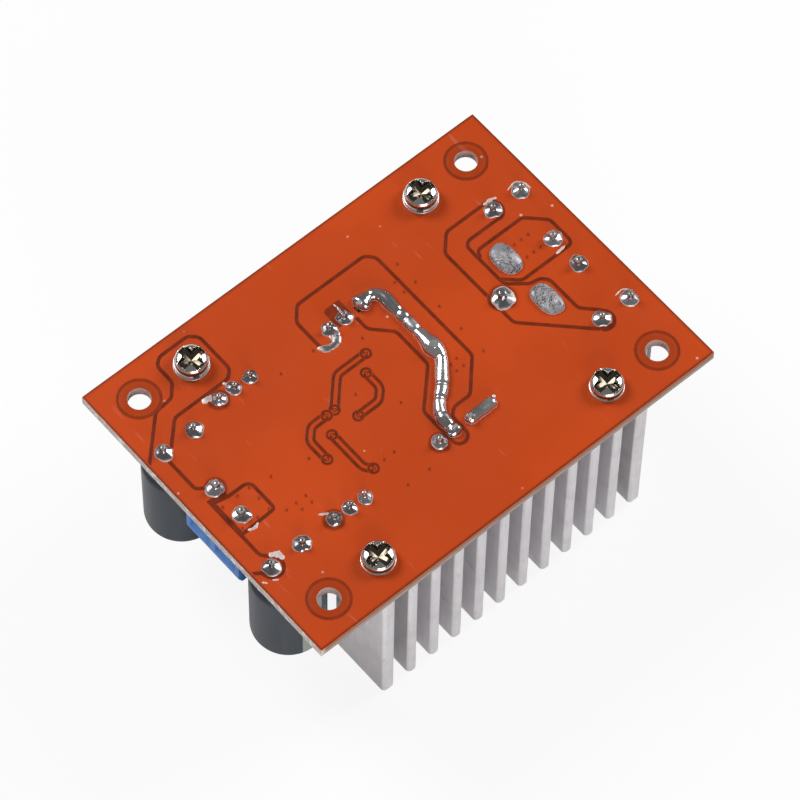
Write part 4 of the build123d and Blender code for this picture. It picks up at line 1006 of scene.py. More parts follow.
@dataclass
class SolderWork:
    """Solder joints, the thick run between three leads, the short bar, and flux splashed round them.

    Each group of leads has its pair in feet: the radius of the foot and that of the wetted lead. A knot of
    the run is its place, its reach and how much wider it is. A splash is its line, its width and its height.
    Waves are how many cosines there are and how large the first one is.
    """

    pin_top: float = 28.42
    tip_rise: float = 0.36
    tip_drop: float = 0.35
    tip_rows: int = 7
    wet_rows: int = 18
    sink: float = 0.05
    joint_sides: int = 40
    side_waves: tuple = (9, 0.15)
    top_waves: tuple = (3, 0.05)
    wet_share: Pair = (0.42, 0.70)
    foot_power: Pair = (0.9, 1.5)
    lean: float = 0.12
    fuse_half: Pair = (1.65, 2.6)
    fuse_height: float = 0.85
    fuse_rim_power: float = 2.5
    fuse_dome_power: float = 0.38
    blade_half: Pair = (0.30, 0.58)
    blade_rise: float = 0.16
    run_width: float = 1.75
    run_height: float = 0.95
    run_corner: float = 1.1
    run_end: float = 0.03
    knot_rise: float = 0.30
    crease_half: float = 0.24
    crease_depth: float = 0.16
    bar_width: float = 1.75
    bar_height: float = 1.05
    bar_fall: float = 0.25
    bar_end: float = 0.16
    terminal_pins: tuple = tuple((sx * 28.8, sy * 2.54) for sx in (-1, 1) for sy in (-1, 1))
    capacitor_pins: tuple = tuple(
        (sx * 28.1 + dx, sy * 10.9) for sx in (-1, 1) for sy in (-1, 1) for dx in (-2.5, 2.5)
    )
    trimmer_pins: tuple = tuple((-17.68 + k * 2.54, y) for y in (12.2, -10.8) for k in (-1, 0, 1))
    device_pins: tuple = ((-2.54, 11.05), (0.0, 11.05), (-2.54, -11.05))
    inductor_pins: tuple = ((17.9, 0.0),)
    fuse_blades: tuple = ((22.1, 4.05), (22.1, -4.05))
    feet: tuple = ((1.30, 0.42), (1.28, 0.36), (1.08, 0.32), (1.12, 0.40), (1.70, 0.62))
    knots: tuple = (
        ((6.0, 0.3), 1.5, 1.30), ((6.0, 9.6), 1.2, 0.30), ((0.1, -8.6), 1.0, 0.25),
        ((0.05, -11.4), 0.9, 0.45), ((2.9, 11.1), 0.9, 0.85),
    )
    run_points: tuple = (
        (2.30, 10.95), (4.9, 11.6), (6.1, 10.4), (6.05, 2.0), (6.0, -1.6), (3.4, -4.5), (1.0, -6.75),
        (0.1, -8.2), (0.05, -11.9),
    )
    bar: tuple = ((1.95, -11.0), (7.2, -10.9))
    creases: tuple = (
        (4.6, 11.4), (6.0, 7.0), (6.05, 5.6), (5.95, 3.4), (6.0, -1.7), (3.1, -4.8), (1.6, -6.2), (0.1, -8.1),
        (0.05, -10.2),
    )
    splash_plan: tuple = (
        (((-5.6, 9.9), (-4.6, 8.9), (-3.3, 8.8), (-2.2, 9.7), (-1.9, 10.5)), 1.25, 0.24),
        (((-2.9, 10.6), (-3.2, 9.6)), 0.70, 0.16),
        (((0.0, 11.4), (0.4, 12.5), (0.3, 13.6)), 0.40, 0.22),
        (((-20.2, 12.6), (-21.4, 13.4), (-22.2, 13.1)), 0.95, 0.12),
        (((-17.7, 12.7), (-18.3, 13.9)), 0.50, 0.10),
        (((7.0, -10.6), (7.5, -10.2)), 0.50, 0.12),
        (((25.2, 12.3), (26.3, 12.4), (27.4, 12.1)), 0.55, 0.08),
        (((27.6, 0.45), (29.4, 0.7)), 0.45, 0.06),
        (((-29.6, -4.8), (-28.7, -5.2), (-27.8, -4.8)), 0.50, 0.06),
        (((-29.9, -9.3), (-28.8, -9.9), (-28.7, -11.0)), 1.05, 0.10),
        (((-33.0, -11.7), (-32.5, -12.3)), 0.30, 0.04),
        (((-31.8, -12.3), (-31.1, -12.8)), 0.26, 0.04),
        (((-21.3, -8.9), (-20.4, -9.5), (-20.0, -9.8)), 0.42, 0.08),
        (((29.2, 12.0), (30.7, 12.4), (31.7, 11.6), (31.8, 10.2)), 0.30, 0.10),
        (((29.3, -9.3), (30.7, -9.1), (31.7, -10.2)), 0.26, 0.10),
    )

    def joint(self, shell: Shell, spot: Pair, foot: float, pin: float, seed: int) -> None:
        """Adds one joint.

        Its radius goes from the foot to the pin as a cosine of the climb to a seeded power, so the solder
        stands as a dome that draws in round the lead; the lead's tip closes as a cosine to a low power. Cosines
        of the angle make it lumpy.

        Args:
            shell: the shell to add to.
            spot: the lead's place.
            foot: radius on the board.
            pin: radius of the wetted lead.
            seed: seed of the lumps.
        """
        dice = np.random.default_rng(seed)
        climb = self.pin_top - SOLDER_Z - self.tip_drop
        wet = climb * dice.uniform(*self.wet_share)
        t = np.linspace(0, 1, self.wet_rows)
        radius = pin + (foot - pin) * np.cos(t * np.pi / 2) ** dice.uniform(*self.foot_power)
        height = SOLDER_Z - self.sink + (wet + self.sink) * t
        q = np.linspace(0, np.pi / 2, self.tip_rows)
        tip_z = SOLDER_Z + climb
        radius = np.concatenate([[0.0], radius, [pin * 0.98], pin * 0.96 * np.cos(q).clip(0) ** 0.4])
        height = np.concatenate(
            [height[:1], height, [(height[-1] + tip_z) / 2], tip_z + self.tip_rise * np.sin(q)]
        )
        angle, up = circle(self.joint_sides), np.linspace(0, 1, len(radius))[:, None]
        grid = polar((0.0, 0.0), radius[:, None], angle, height[:, None])
        lump = 1 + wavy(angle, seed, *self.side_waves) * np.linspace(1, 0.25, len(radius))[:, None]
        grid[..., :2] *= lump[..., None]
        grid[..., 2] += wavy(angle, seed + 7, *self.top_waves) * np.sin(up * np.pi)
        grid[..., :2] += np.array(spot) + (dice.uniform(-self.lean, self.lean, 2) * up)[:, None, :]
        shell.add(grid, wrap_columns=True)

    def joints(self) -> Piece:
        """All pin joints as one piece."""
        shell = Shell("pin_joints")
        groups = (self.terminal_pins, self.capacitor_pins, self.trimmer_pins, self.device_pins, self.inductor_pins)
        for number, (pins, (foot, pin)) in enumerate(zip(groups, self.feet)):
            for k, spot in enumerate(pins):
                self.joint(shell, spot, foot, pin, 100 * number + k + 3)
        return shell.made()

    def fuse_ovals(self) -> Piece:
        """Two low domes over the fuse blades: superellipse rings, height 1-r^2 to a power, raised over the blade."""
        shell = Shell("fuse_joints")
        angle = circle(72)
        power, half = self.fuse_rim_power, self.blade_half
        box = (abs(np.cos(angle)) ** power + abs(np.sin(angle)) ** power) ** (-1 / power)
        r = np.concatenate([[0.0, 1.0], np.linspace(1, 0, 26)])[:, None]
        above = (np.arange(len(r)) > 1)[:, None]
        for k, (x, y) in enumerate(self.fuse_blades):
            rim = box * (1 + wavy(angle, k + 40, 4, 0.05))
            gx, gy = r * rim * np.cos(angle), r * rim * np.sin(angle)
            dome = (1 - r**2).clip(0) ** self.fuse_dome_power * (1 + 0.10 * np.sin(gx * 4.1 + k) * np.cos(gy * 3.3))
            dome = dome + self.blade_rise * np.exp(-((gx / half[0]) ** 4) - (gy / half[1]) ** 4)
            height = np.where(above, SOLDER_Z + self.fuse_height * dome, SOLDER_Z - self.sink)
            grid = np.stack([x + gx * self.fuse_half[0], y + gy * self.fuse_half[1], height], -1)
            shell.add(grid, wrap_columns=True)
        return shell.made(flat_angle=None)

    def bead(
        self, name: str, line: np.ndarray, width: np.ndarray, height: np.ndarray, seed: int, lump: float
    ) -> Piece:
        """A thick bead of solder along a line: half an ellipse above the board and flat under it.

        Args:
            name: the piece's name.
            line: points along the bead.
            width: width at each point, already closed to nothing at both ends.
            height: height at each point.
            seed: seed of the lumps.
            lump: size of the lumps.

        Returns:
            The piece.
        """
        angle, run = circle(36), np.linspace(0, 1, len(line))
        lumps = 1 + wavy(run * 9, seed, 5, lump)[:, None] + lump * 0.4 * np.sin(angle * 3 + run[:, None] * 18)
        reach = np.cos(angle) * width[:, None] / 2 * lumps + wavy(run * 9, seed + 5, 5, lump)[:, None]
        rise = np.where(np.sin(angle) > 0, abs(np.sin(angle)) ** 0.85 * height[:, None] * lumps, -self.sink)
        return Shell(name).add(laid(line, reach, rise), wrap_columns=True).made(flat_angle=None)

    def run(self) -> Piece:
        """The long run: wider at its knots, lower at its creases, closing round at both ends."""
        line = evened(rounded_path(self.run_points, self.run_corner), 0.16)
        spots, reach, growth = (np.array(column) for column in zip(*self.knots))
        gap = np.linalg.norm(line[:, None] - spots, axis=2)
        knot = np.exp(-((gap / reach) ** 2)) @ growth
        apart = np.linalg.norm(line[:, None] - np.array(self.creases), axis=2).min(1)
        cap = closing(np.linspace(0, 1, len(line)), self.run_end)
        cap = cap * (1 - self.crease_depth * np.exp(-((apart / self.crease_half) ** 2)))
        width, height = (self.run_width + knot) * cap, (self.run_height + knot * self.knot_rise) * cap
        return self.bead("solder_bead", line, width, height, 11, 0.08)

    def short_bar(self) -> Piece:
        """The short bar by the front device, falling a little along its length."""
        line = evened(np.array(self.bar, float), 0.14)
        place = np.linspace(0, 1, len(line))
        cap = closing(place, self.bar_end)
        height = (self.bar_height - self.bar_fall * place) * cap
        return self.bead("solder_bar_bead", line, self.bar_width * cap, height, 29, 0.03)

    def splashes(self) -> Piece:
        """The hooked flag by the rear device, its spike, and the thin flags and specks round other joints."""
        shell = Shell("solder_splashes")
        angle = circle(16)
        for number, (points, width, height) in enumerate(self.splash_plan):
            line = evened(rounded_path(points, 0.5), 0.12)
            place = np.linspace(0, 1, len(line))
            cap = (place * (1 - place)).clip(0) ** 0.4 * 1.6
            ragged = 1 + wavy(place * 14, number + 60, 5, 0.25)[:, None]
            reach = np.cos(angle) * (width * cap)[:, None] / 2 * ragged
            rise = np.where(np.sin(angle) > 0, np.sin(angle) * (height * cap)[:, None], -0.01)
            shell.add(laid(line, reach, rise), wrap_columns=True)
        return shell.made(flat_angle=None)

    def build(self) -> None:
        """Makes and dresses all the solder."""
        bright = SolderFinish("bright_solder").material()
        dull = SolderFinish(
            "dull_solder", (0.42, 0.41, 0.43), (0.20, 0.19, 0.21), roughness=0.46, ripple=0.00009, cracks=1.0,
            metallic=0.35,
        ).material()
        grey = SolderFinish("joint_solder", (0.66, 0.65, 0.68), (0.17, 0.16, 0.17), roughness=0.18).material()
        dress(self.joints(), grey, replaces=("solder_joints",))
        dress(self.fuse_ovals(), dull)
        dress(self.run(), bright, replaces=("solder_run",))
        dress(self.short_bar(), bright, replaces=("solder_bar",))
        dress(self.splashes(), bright)


@dataclass(frozen=True)
class ScrewSeat:
    """Where one heatsink screw sits: its place, the height of its seat and how far its cross is turned."""

    spot: Pair
    seat: float
    turn: float
    washer_r: float


@dataclass
class SinkScrews:
    """Four pan-head screws that hold the heatsinks, each on a split and a flat washer."""

    seats: tuple = (
        ScrewSeat((-19.66, 18.50), 27.95, 4.0, 2.45),
        ScrewSeat((19.58, 18.42), 27.95, -3.0, 2.45),
        ScrewSeat((19.42, -18.76), 27.45, 2.0, 2.32),
        ScrewSeat((-19.60, -18.80), 27.40, 10.0, 2.30),
    )
    sides: int = 144
    head_r: float = 2.24
    side_height: float = 0.55
    head_height: float = 1.45
    recess_depth: float = 1.25
    arm_width: float = 1.62
    arm_reach: float = 1.92
    cone_r: float = 1.25
    arm_taper: Pair = (1.12, 0.30)
    floor_falls: Pair = (0.62, 0.17)
    side_slope: float = 0.40
    end_slope: float = 0.36
    cone_slope: float = 0.60
    # Painted shade: halved within this radius of the middle, and this share of it darkens the head's side and shank.
    lighter_centre_r: float = 0.6
    side_shade: float = 0.75
    bore_r: float = 1.5
    shank_r: float = 1.35
    shank_low: float = 19.0
    washer_sides: int = 72
    flat_share: float = 0.36
    split_inset: float = 0.04
    split_half: float = 0.10
    split_rise: float = 0.04
    slit_turn: float = 235.0
    washer_power: float = 0.35

    def recess(self, far: np.ndarray, near: np.ndarray) -> np.ndarray:
        """Depth of the cross below the dome.

        It is the least of three sloping walls - beside an arm, at its end and the arm's own floor, which
        climbs outwards and to both sides - or the cone in the middle where that is deeper.

        Args:
            far: distance along the nearer arm.
            near: distance from that arm's middle line.

        Returns:
            The depth, 0 outside the cross.
        """
        share = far / self.arm_reach
        side = (self.arm_width / 2 * (self.arm_taper[0] - self.arm_taper[1] * share) - near) / self.side_slope
        end = (self.arm_reach - far) / self.end_slope
        cone = (self.cone_r - np.hypot(far, near)) / self.cone_slope
        floor = 1 - self.floor_falls[0] * share - self.floor_falls[1] * near
        return np.minimum(floor, np.maximum(np.minimum(side, end), cone)).clip(0) * self.recess_depth

    def head(self, shell: Shell, place: ScrewSeat) -> None:
        """Adds one screw.

        The top is a height over the disc: the dome (1 - r^2.8)^0.55 less the cross. The side drops from
        its rim to the washer, and the shank goes on down from there.

        Args:
            shell: the shell to add to.
            place: the screw's seat.
        """
        angle = circle(self.sides)
        share = np.sin(np.linspace(0, np.pi / 2, 60))[:, None]
        r, seat = share * self.head_r, place.seat
        x, y = r * np.cos(angle), r * np.sin(angle)
        c, s = math.cos(math.radians(place.turn)), math.sin(math.radians(place.turn))
        p, q = abs(c * x + s * y), abs(c * y - s * x)
        crown = (self.head_height - self.side_height) * (1 - share**2.8).clip(0) ** 0.55
        cut = self.recess(np.maximum(p, q), np.minimum(p, q))
        top = polar(place.spot, r, angle, seat + self.side_height + crown - cut)
        # Painted shade in the cross, darker the deeper it is and lighter near the middle; the side rows below take a
        # fixed share.
        painted_shade = cut / self.recess_depth * (1 - 0.5 * np.exp(-((r / self.lighter_centre_r) ** 2)))
        below = [
            (self.head_r, seat + 0.1), (self.head_r - 0.1, seat), (self.shank_r, seat),
            (self.shank_r, self.shank_low + 0.3), (self.shank_r - 0.3, self.shank_low), (0.0, self.shank_low),
        ]
        across = np.concatenate([painted_shade, np.full((len(below), self.sides), self.side_shade)])
        grid = np.concatenate([top, revolved(below, place.spot, self.sides)])
        shell.add(grid, wrap_columns=True, across=across)

    def washer(self, shell: Shell, spot: Pair, outer: float, low: float, high: float, split: float | None) -> None:
        """Adds a washer: a rounded rectangle (cos and sin to a low power) carried round the screw.

        Args:
            shell: the shell to add to.
            spot: the screw's place.
            outer: outer radius.
            low: height of its lower face.
            high: height of its upper face.
            split: angle of the slit in degrees, or None for a whole ring.
        """
        section, half_r, half_z = circle(20), (outer - self.bore_r) / 2, (high - low) / 2
        angle, rise, pinch = circle(self.washer_sides), np.zeros(self.washer_sides), np.ones(self.washer_sides)
        if split is not None:
            turn = np.linspace(self.split_half, 2 * np.pi - self.split_half, self.washer_sides)
            angle = math.radians(split) + turn
            rise = np.linspace(-self.split_rise, self.split_rise, self.washer_sides)
            pinch[[0, -1]] = 0.0
            angle[0], angle[-1] = angle[1], angle[-2]
        across = boxed(np.cos(section), self.washer_power) * half_r
        upward = boxed(np.sin(section), self.washer_power) * (half_z - abs(rise).max())
        radius = self.bore_r + half_r + across * pinch[:, None]
        height = low + half_z + upward * pinch[:, None] + rise[:, None]
        grid = polar(spot, radius, angle[:, None], height)
        shell.add(grid, wrap_rows=split is None, wrap_columns=True)

    def build(self) -> None:
        """Makes and dresses screws and washers."""
        even = (500.0, 500.0, 500.0)
        # The nickel takes painted shade in the cross and down the head's side, from the attribute "across".
        nickel = MetalFinish(
            "bright_nickel", (0.80, 0.78, 0.75), (0.24, 0.18, 0.11), 0.17, even, 0.000003, 0.4, hollow_shade=0.93
        ).material()
        steel = MetalFinish(
            "washer_nickel", (0.66, 0.64, 0.62), (0.26, 0.21, 0.16), 0.34, even, 0.000006, 0.5, metallic=0.7
        ).material()
        screws, split, flat = Shell("sink_screw_heads"), Shell("split_washers"), Shell("flat_washers")
        for place in self.seats:
            self.head(screws, place)
            middle = SOLDER_Z + (place.seat - SOLDER_Z) * self.flat_share
            slit = place.turn * 3 + self.slit_turn
            self.washer(split, place.spot, place.washer_r - self.split_inset, middle, place.seat, slit)
            self.washer(flat, place.spot, place.washer_r, SOLDER_Z, middle, None)
        dress(screws.made(flat_angle=24), nickel, replaces=("heatsink_screws",))
        dress(split.made(flat_angle=40), steel, replaces=("heatsink_spring_washers",))
        dress(flat.made(flat_angle=40), steel, replaces=("heatsink_flat_washers",))


@dataclass
class Heatsinks:
    """The two extruded heatsinks, satin and lightly scratched."""

    edge: float = 0.22

    def build(self, nodes: Nodes) -> None:
        """Rounds the extrusion's corners and gives it the satin finish, its grain upright."""
        satin = MetalFinish(
            "satin_aluminium", (0.84, 0.82, 0.84), (0.46, 0.42, 0.42), 0.42, (2600.0, 2600.0, 90.0), 0.000012, 0.30,
            metallic=0.78,
        ).material()
        for side in ("rear", "front"):
            cover(nodes, f"{side}_heatsink", f"{side}_finned_extrusion", self.edge, satin)


@dataclass
class PowerDevices:
    """Diode and transistor with tabs, insulating pads, bushes and clamp screws."""

    case_edge: float = 0.12
    screw_edge: float = 0.1

    def build(self, nodes: Nodes) -> None:
        """Rounds the cases and dresses the rest."""
        compound = MouldedFinish("case_compound", (0.030, 0.030, 0.033), (0.018, 0.018, 0.020), 0.55).material()
        for kind in ("diode", "transistor"):
            cover(nodes, f"{kind}_case", f"{kind}_moulding", self.case_edge, compound)
        tin = MetalFinish("device_tin", roughness=0.34, grain=(300.0, 300.0, 900.0)).material()
        paint(nodes, tin, "diode_leads", "transistor_leads")
        pad = MouldedFinish("silicone_sheet", (0.42, 0.45, 0.48), (0.34, 0.36, 0.39), 0.7, 900.0, 0.00004)
        paint(nodes, pad.material(), "insulating_pads")
        bush = MouldedFinish("bush_nylon", (0.78, 0.74, 0.62), (0.70, 0.65, 0.52), 0.5)
        paint(nodes, bush.material(), "insulating_bushes")
        nickel = MetalFinish("clamp_nickel", (0.84, 0.81, 0.74), (0.35, 0.28, 0.18), 0.24).material()
        cover(nodes, "clamp_screws", "tab_screws", self.screw_edge, nickel)


@dataclass
class Capacitor:
    """One can in its sleeve, crimped near the bung and scored at its far end."""

    node: str
    spot: Pair
    stripe_turn: float
    sides: int = 96
    radius: float = 5.1
    end_z: float = 8.4
    seat_z: float = 24.9
    crimp_z: float = 23.0
    crimp: float = 0.55
    crimp_half: float = 0.62
    lip: float = 0.55
    rim: float = 0.5
    score_reach: float = 3.3
    score_half: float = 0.22
    score_depth: float = 0.22

    def sleeve_profile(self) -> list[Pair]:
        """Radius and height from the sleeve's lip on the end, up its side, in at the crimp and over the rim.

        The crimp is the crimp depth times exp(-((z - crimp) / its half)^2), taken off the radius.
        """
        r, turn = self.radius, np.linspace(0, np.pi / 2, 7)
        foot = [(r - self.lip * (1 - math.sin(a)), self.end_z + self.lip * (1 - math.cos(a))) for a in turn]
        z = np.concatenate([np.linspace(self.end_z + 0.8, 21.2, 10), np.linspace(21.4, 24.3, 24)])
        side = list(zip(r - self.crimp * np.exp(-(((z - self.crimp_z) / self.crimp_half) ** 2)), z))
        rim = [(r - self.rim * (1 - math.cos(a)), self.seat_z - self.rim * (1 - math.sin(a))) for a in turn]
        inner = [(r - 1.1, self.seat_z), (r - 1.1, self.seat_z - 0.3), (0.0, self.seat_z - 0.3)]
        low = [(0.0, self.end_z + 0.5), (r - 1.3, self.end_z + 0.5), (r - 1.3, self.end_z)]
        return low + foot + side + rim + inner

    def end_grid(self) -> np.ndarray:
        """The scored end as a height over the disc, sunk by a soft cross; its back is a flat disc."""
        angle, reach = circle(self.sides), self.radius - self.lip - 0.25
        r = np.linspace(0, reach, 34)[:, None]
        score = np.minimum(abs(r * np.cos(angle)), abs(r * np.sin(angle)))
        groove = ((self.score_half - score) / 0.14).clip(0, 1) * ((self.score_reach - r) / 0.3).clip(0, 1)
        front = polar(self.spot, r, angle, self.end_z + 0.12 + groove * self.score_depth)
        back = revolved([(reach, self.end_z + 0.45), (0.0, self.end_z + 0.45)], self.spot, self.sides)
        return np.concatenate([front, back])

    def build(self, bare: Material) -> None:
        """Makes and dresses the sleeve and the can's end, which has the bare finish."""
        sleeve = Shell(f"{self.node}_sleeve")
        sleeve.add(revolved(self.sleeve_profile(), self.spot, self.sides), wrap_columns=True)
        finish = SleeveFinish(f"{self.node}_sleeve_finish", self.spot, self.stripe_turn).material()
        dress(sleeve.made(flat_angle=60), finish, replaces=(f"{self.node}_can",))
        end = Shell(f"{self.node}_end").add(self.end_grid(), wrap_columns=True)
        dress(end.made(flat_angle=40), bare, replaces=(f"{self.node}_can",))


@dataclass
class Capacitors:
    """The four electrolytic capacitors."""

    x: float = 28.1
    y: float = 10.9

    def build(self, nodes: Nodes) -> None:
        """Builds each capacitor; its stripe faces away from the terminal beside it."""
        bare = MetalFinish("bare_can", (0.80, 0.80, 0.82), (0.55, 0.55, 0.57), 0.3, (700.0, 700.0, 700.0)).material()
        rubber = MouldedFinish("bung_rubber", (0.030, 0.030, 0.030), (0.020, 0.020, 0.020), 0.75).material()
        tin = MetalFinish("lead_tin", roughness=0.30).material()
        for end, sx in (("input", 1), ("output", -1)):
            for side, sy in (("front", -1), ("rear", 1)):
                node = f"{end}_capacitor_{side}"
                Capacitor(node, (sx * self.x, sy * self.y), 90.0 * sy).build(bare)
                paint(nodes, rubber, f"{node}_bung")
                paint(nodes, tin, f"{node}_leads")


@dataclass
class Inductor:
    """Powder-coated ring wound with one enamelled wire, its ends standing up through the board."""

    x: float = 11.95
    z: float = 13.4
    outer_r: float = 10.1
    inner_r: float = 6.35
    half_width: float = 5.2
    ring_power: float = 0.28
    wire_power: float = 0.42
    wire_r: float = 0.6
    clearance: float = 0.06
    turns: int = 16
    start: float = 20.0
    end: float = 340.0
    lead_x: float = 5.95
    top: float = 28.35
    wire_sides: int = 14

    def about(self, along: np.ndarray, radial: np.ndarray, angle: np.ndarray) -> np.ndarray:
        """Points about the ring's axis: (x + along, radial sin a, z + radial cos a)."""
        return np.stack(
            np.broadcast_arrays(self.x + along, radial * np.sin(angle), self.z + radial * np.cos(angle)), -1
        )

    def thickness(self) -> Pair:
        """The radius of the middle of the ring's section, and half its thickness."""
        return (self.outer_r + self.inner_r) / 2, (self.outer_r - self.inner_r) / 2

    def ring(self) -> Piece:
        """The ring: a rectangle with rounded corners (cos and sin to a low power) carried round its axis."""
        section, around = circle(48), circle(144)[:, None]
        middle, half = self.thickness()
        radial = middle + half * boxed(np.cos(section), self.ring_power)
        grid = self.about(self.half_width * boxed(np.sin(section), self.ring_power), radial, around)
        return Shell("coated_ring").add(grid, wrap_rows=True, wrap_columns=True).made(flat_angle=None)

    def wire_line(self) -> tuple[np.ndarray, np.ndarray]:
        """Centre line of the wire, and the way outwards from the ring's section at each point.

        Round the ring, the angle climbs evenly while the section angle runs through all the turns on a
        rounded rectangle. The ends are straight and meet it after a smoothing with a bell.

        Returns:
            The line's points and the vectors.
        """
        t = np.linspace(0, 1, 64 * self.turns)
        around = np.radians(self.start + (self.end - self.start) * t)
        section = np.pi + 0.6 + t * (2 * np.pi * self.turns + np.pi - 1.2) + np.pi / 2
        out_r, out_x = boxed(np.sin(section), self.wire_power), boxed(np.cos(section), self.wire_power)
        middle, half = self.thickness()
        gap = self.wire_r + self.clearance
        wind = self.about((self.half_width + gap) * out_x, middle + (half + gap) * out_r, around)
        away = np.stack([out_x, out_r * np.sin(around), out_r * np.cos(around)], 1)
        rise = np.linspace(self.top, self.z + self.outer_r + 0.9, 26)[:, None]
        first, last = (
            np.hstack([np.full_like(rise, self.x + side * self.lead_x), np.zeros_like(rise), rise])[::-side]
            for side in (-1, 1)
        )
        bridge = np.linspace(0, 1, 22)[1:-1, None]
        line = np.vstack(
            [first, first[-1] + (wind[0] - first[-1]) * bridge, wind, wind[-1] + (last[0] - wind[-1]) * bridge, last]
        )
        ahead = np.array([[-1.0, 0.0, 0.2]]).repeat(len(first) + len(bridge), 0)
        bell = np.exp(-(np.linspace(-2, 2, 15) ** 2))
        bell /= bell.sum()

        def smooth(values: np.ndarray) -> np.ndarray:
            """Each column averaged over its neighbours with the bell, its ends held."""
            padded = np.pad(values, ((7, 7), (0, 0)), mode="edge")
            return np.stack([np.convolve(padded[:, k], bell, "valid") for k in range(3)], 1)

        held = smooth(line)
        held[:8], held[-8:] = line[:8], line[-8:]
        return held, smooth(np.vstack([ahead, away, -ahead]))

    def wire(self) -> Piece:
        """The wire: a circle carried along its line, one axis of it always pointing away from the ring."""
        line, aside = self.wire_line()
        along = unit(np.gradient(line, axis=0))
        side = unit(np.cross(along, aside))
        up, turn = np.cross(side, along), circle(self.wire_sides)[:, None]
        grid = line[:, None] + (side[:, None] * np.cos(turn) + up[:, None] * np.sin(turn)) * self.wire_r
        first, last = (end[:, None].repeat(self.wire_sides, 1) for end in (line[:1], line[-1:]))
        return Shell("wound_wire").add(np.concatenate([first, grid, last]), wrap_columns=True).made(flat_angle=70)

    def build(self) -> None:
        """Makes and dresses ring and wire."""
        coat = MouldedFinish(
            "ring_coating", (0.72, 0.50, 0.07), (0.60, 0.40, 0.05), 0.42, 1400.0, 0.00003, (0.9, 0.8, 0.5), 0.10, 0.2
        ).material()
        dress(self.ring(), coat, replaces=("inductor_core",))
        dress(self.wire(), EnamelFinish().material(), replaces=("inductor_winding",))


@dataclass
class Terminals:
    """Input and output terminal blocks: housings, contacts, wire guards and their screws."""

    edge: float = 0.18
    front_x: float = 31.7
    entry_floor: float = 19.7
    lip_z: float = 17.3
    near: float = 0.05

    def funnel(self, points: np.ndarray) -> np.ndarray:
        """Lowers the entries' floor where it meets the front, so that each wire entry is a funnel."""
        front = abs(abs(points[:, 0]) - self.front_x) < self.near
        floor = abs(points[:, 2] - self.entry_floor) < self.near
        moved = points.copy()
        moved[:, 2] = np.where(front & floor, self.lip_z, points[:, 2])
        return moved

    def build(self, nodes: Nodes) -> None:
        """Rounds the housings and dresses the metal parts that move in them."""
        blue = MouldedFinish(
            "terminal_polyamide", (0.070, 0.215, 0.560), (0.055, 0.175, 0.480), 0.46, 1900.0, 0.000012,
            (0.5, 0.6, 0.8),
        ).material()
        tin = MetalFinish("contact_tin", (0.74, 0.73, 0.70), (0.40, 0.38, 0.34)).material()
        zinc = MetalFinish("screw_zinc", (0.80, 0.79, 0.74), (0.34, 0.31, 0.24), 0.28).material()
        for end in ("input", "output"):
            housing = cover(
                nodes, f"{end}_terminal_housing", f"{end}_terminal_body", self.edge, blue
            )
            reshape(housing, self.funnel)
            paint(nodes, tin, f"{end}_terminal_contacts", f"{end}_front_wire_guard", f"{end}_rear_wire_guard")
            paint(nodes, zinc, f"{end}_front_terminal_screw", f"{end}_rear_terminal_screw")


@dataclass
class FuseHolder:
    """The soldered blade fuse in its amber body; its solder covers the tips of both blades."""

    tip_z: float = 27.75
    body_edge: float = 0.2
    strip_edge: float = 0.05

    def trimmed(self, points: np.ndarray) -> np.ndarray:
        """Heights above the tips' own height brought down to it."""
        moved = points.copy()
        moved[:, 2] = np.minimum(points[:, 2], self.tip_z)
        return moved

    def build(self, nodes: Nodes) -> None:
        """Rounds the body and dresses the element."""
        amber = MouldedFinish(
            "fuse_polycarbonate", (0.62, 0.42, 0.05), (0.50, 0.32, 0.04), 0.24, 900.0, 0.00001,
            (0.9, 0.85, 0.6), 0.1, 0.3,
        ).material()
        cover(nodes, "fuse_body", "fuse_moulding", self.body_edge, amber)
        zinc = MetalFinish("fuse_zinc", (0.76, 0.76, 0.76), (0.44, 0.42, 0.40), 0.36).material()
        strip = cover(nodes, "fuse_element", "fuse_strip", self.strip_edge, zinc)
        reshape(strip, self.trimmed)


@dataclass
class Trimmers:
    """The two multi-turn trimmers with their slotted brass adjusters."""

    edge: float = 0.15

    def build(self, nodes: Nodes) -> None:
        """Rounds the cases and dresses pins and adjusters."""
        blue = MouldedFinish(
            "trimmer_case_blue", (0.030, 0.130, 0.470), (0.022, 0.100, 0.390), 0.36, 2200.0, 0.00001, (0.5, 0.6, 0.8)
        ).material()
        tin = MetalFinish("trimmer_tin").material()
        brass = MetalFinish("adjuster_brass", (0.80, 0.60, 0.28), (0.42, 0.27, 0.10), 0.26).material()
        for side in ("rear", "front"):
            cover(nodes, f"{side}_trimmer_case", f"{side}_trimmer_body", self.edge, blue)
            paint(nodes, tin, f"{side}_trimmer_pins")
            paint(nodes, brass, f"{side}_trimmer_adjuster")


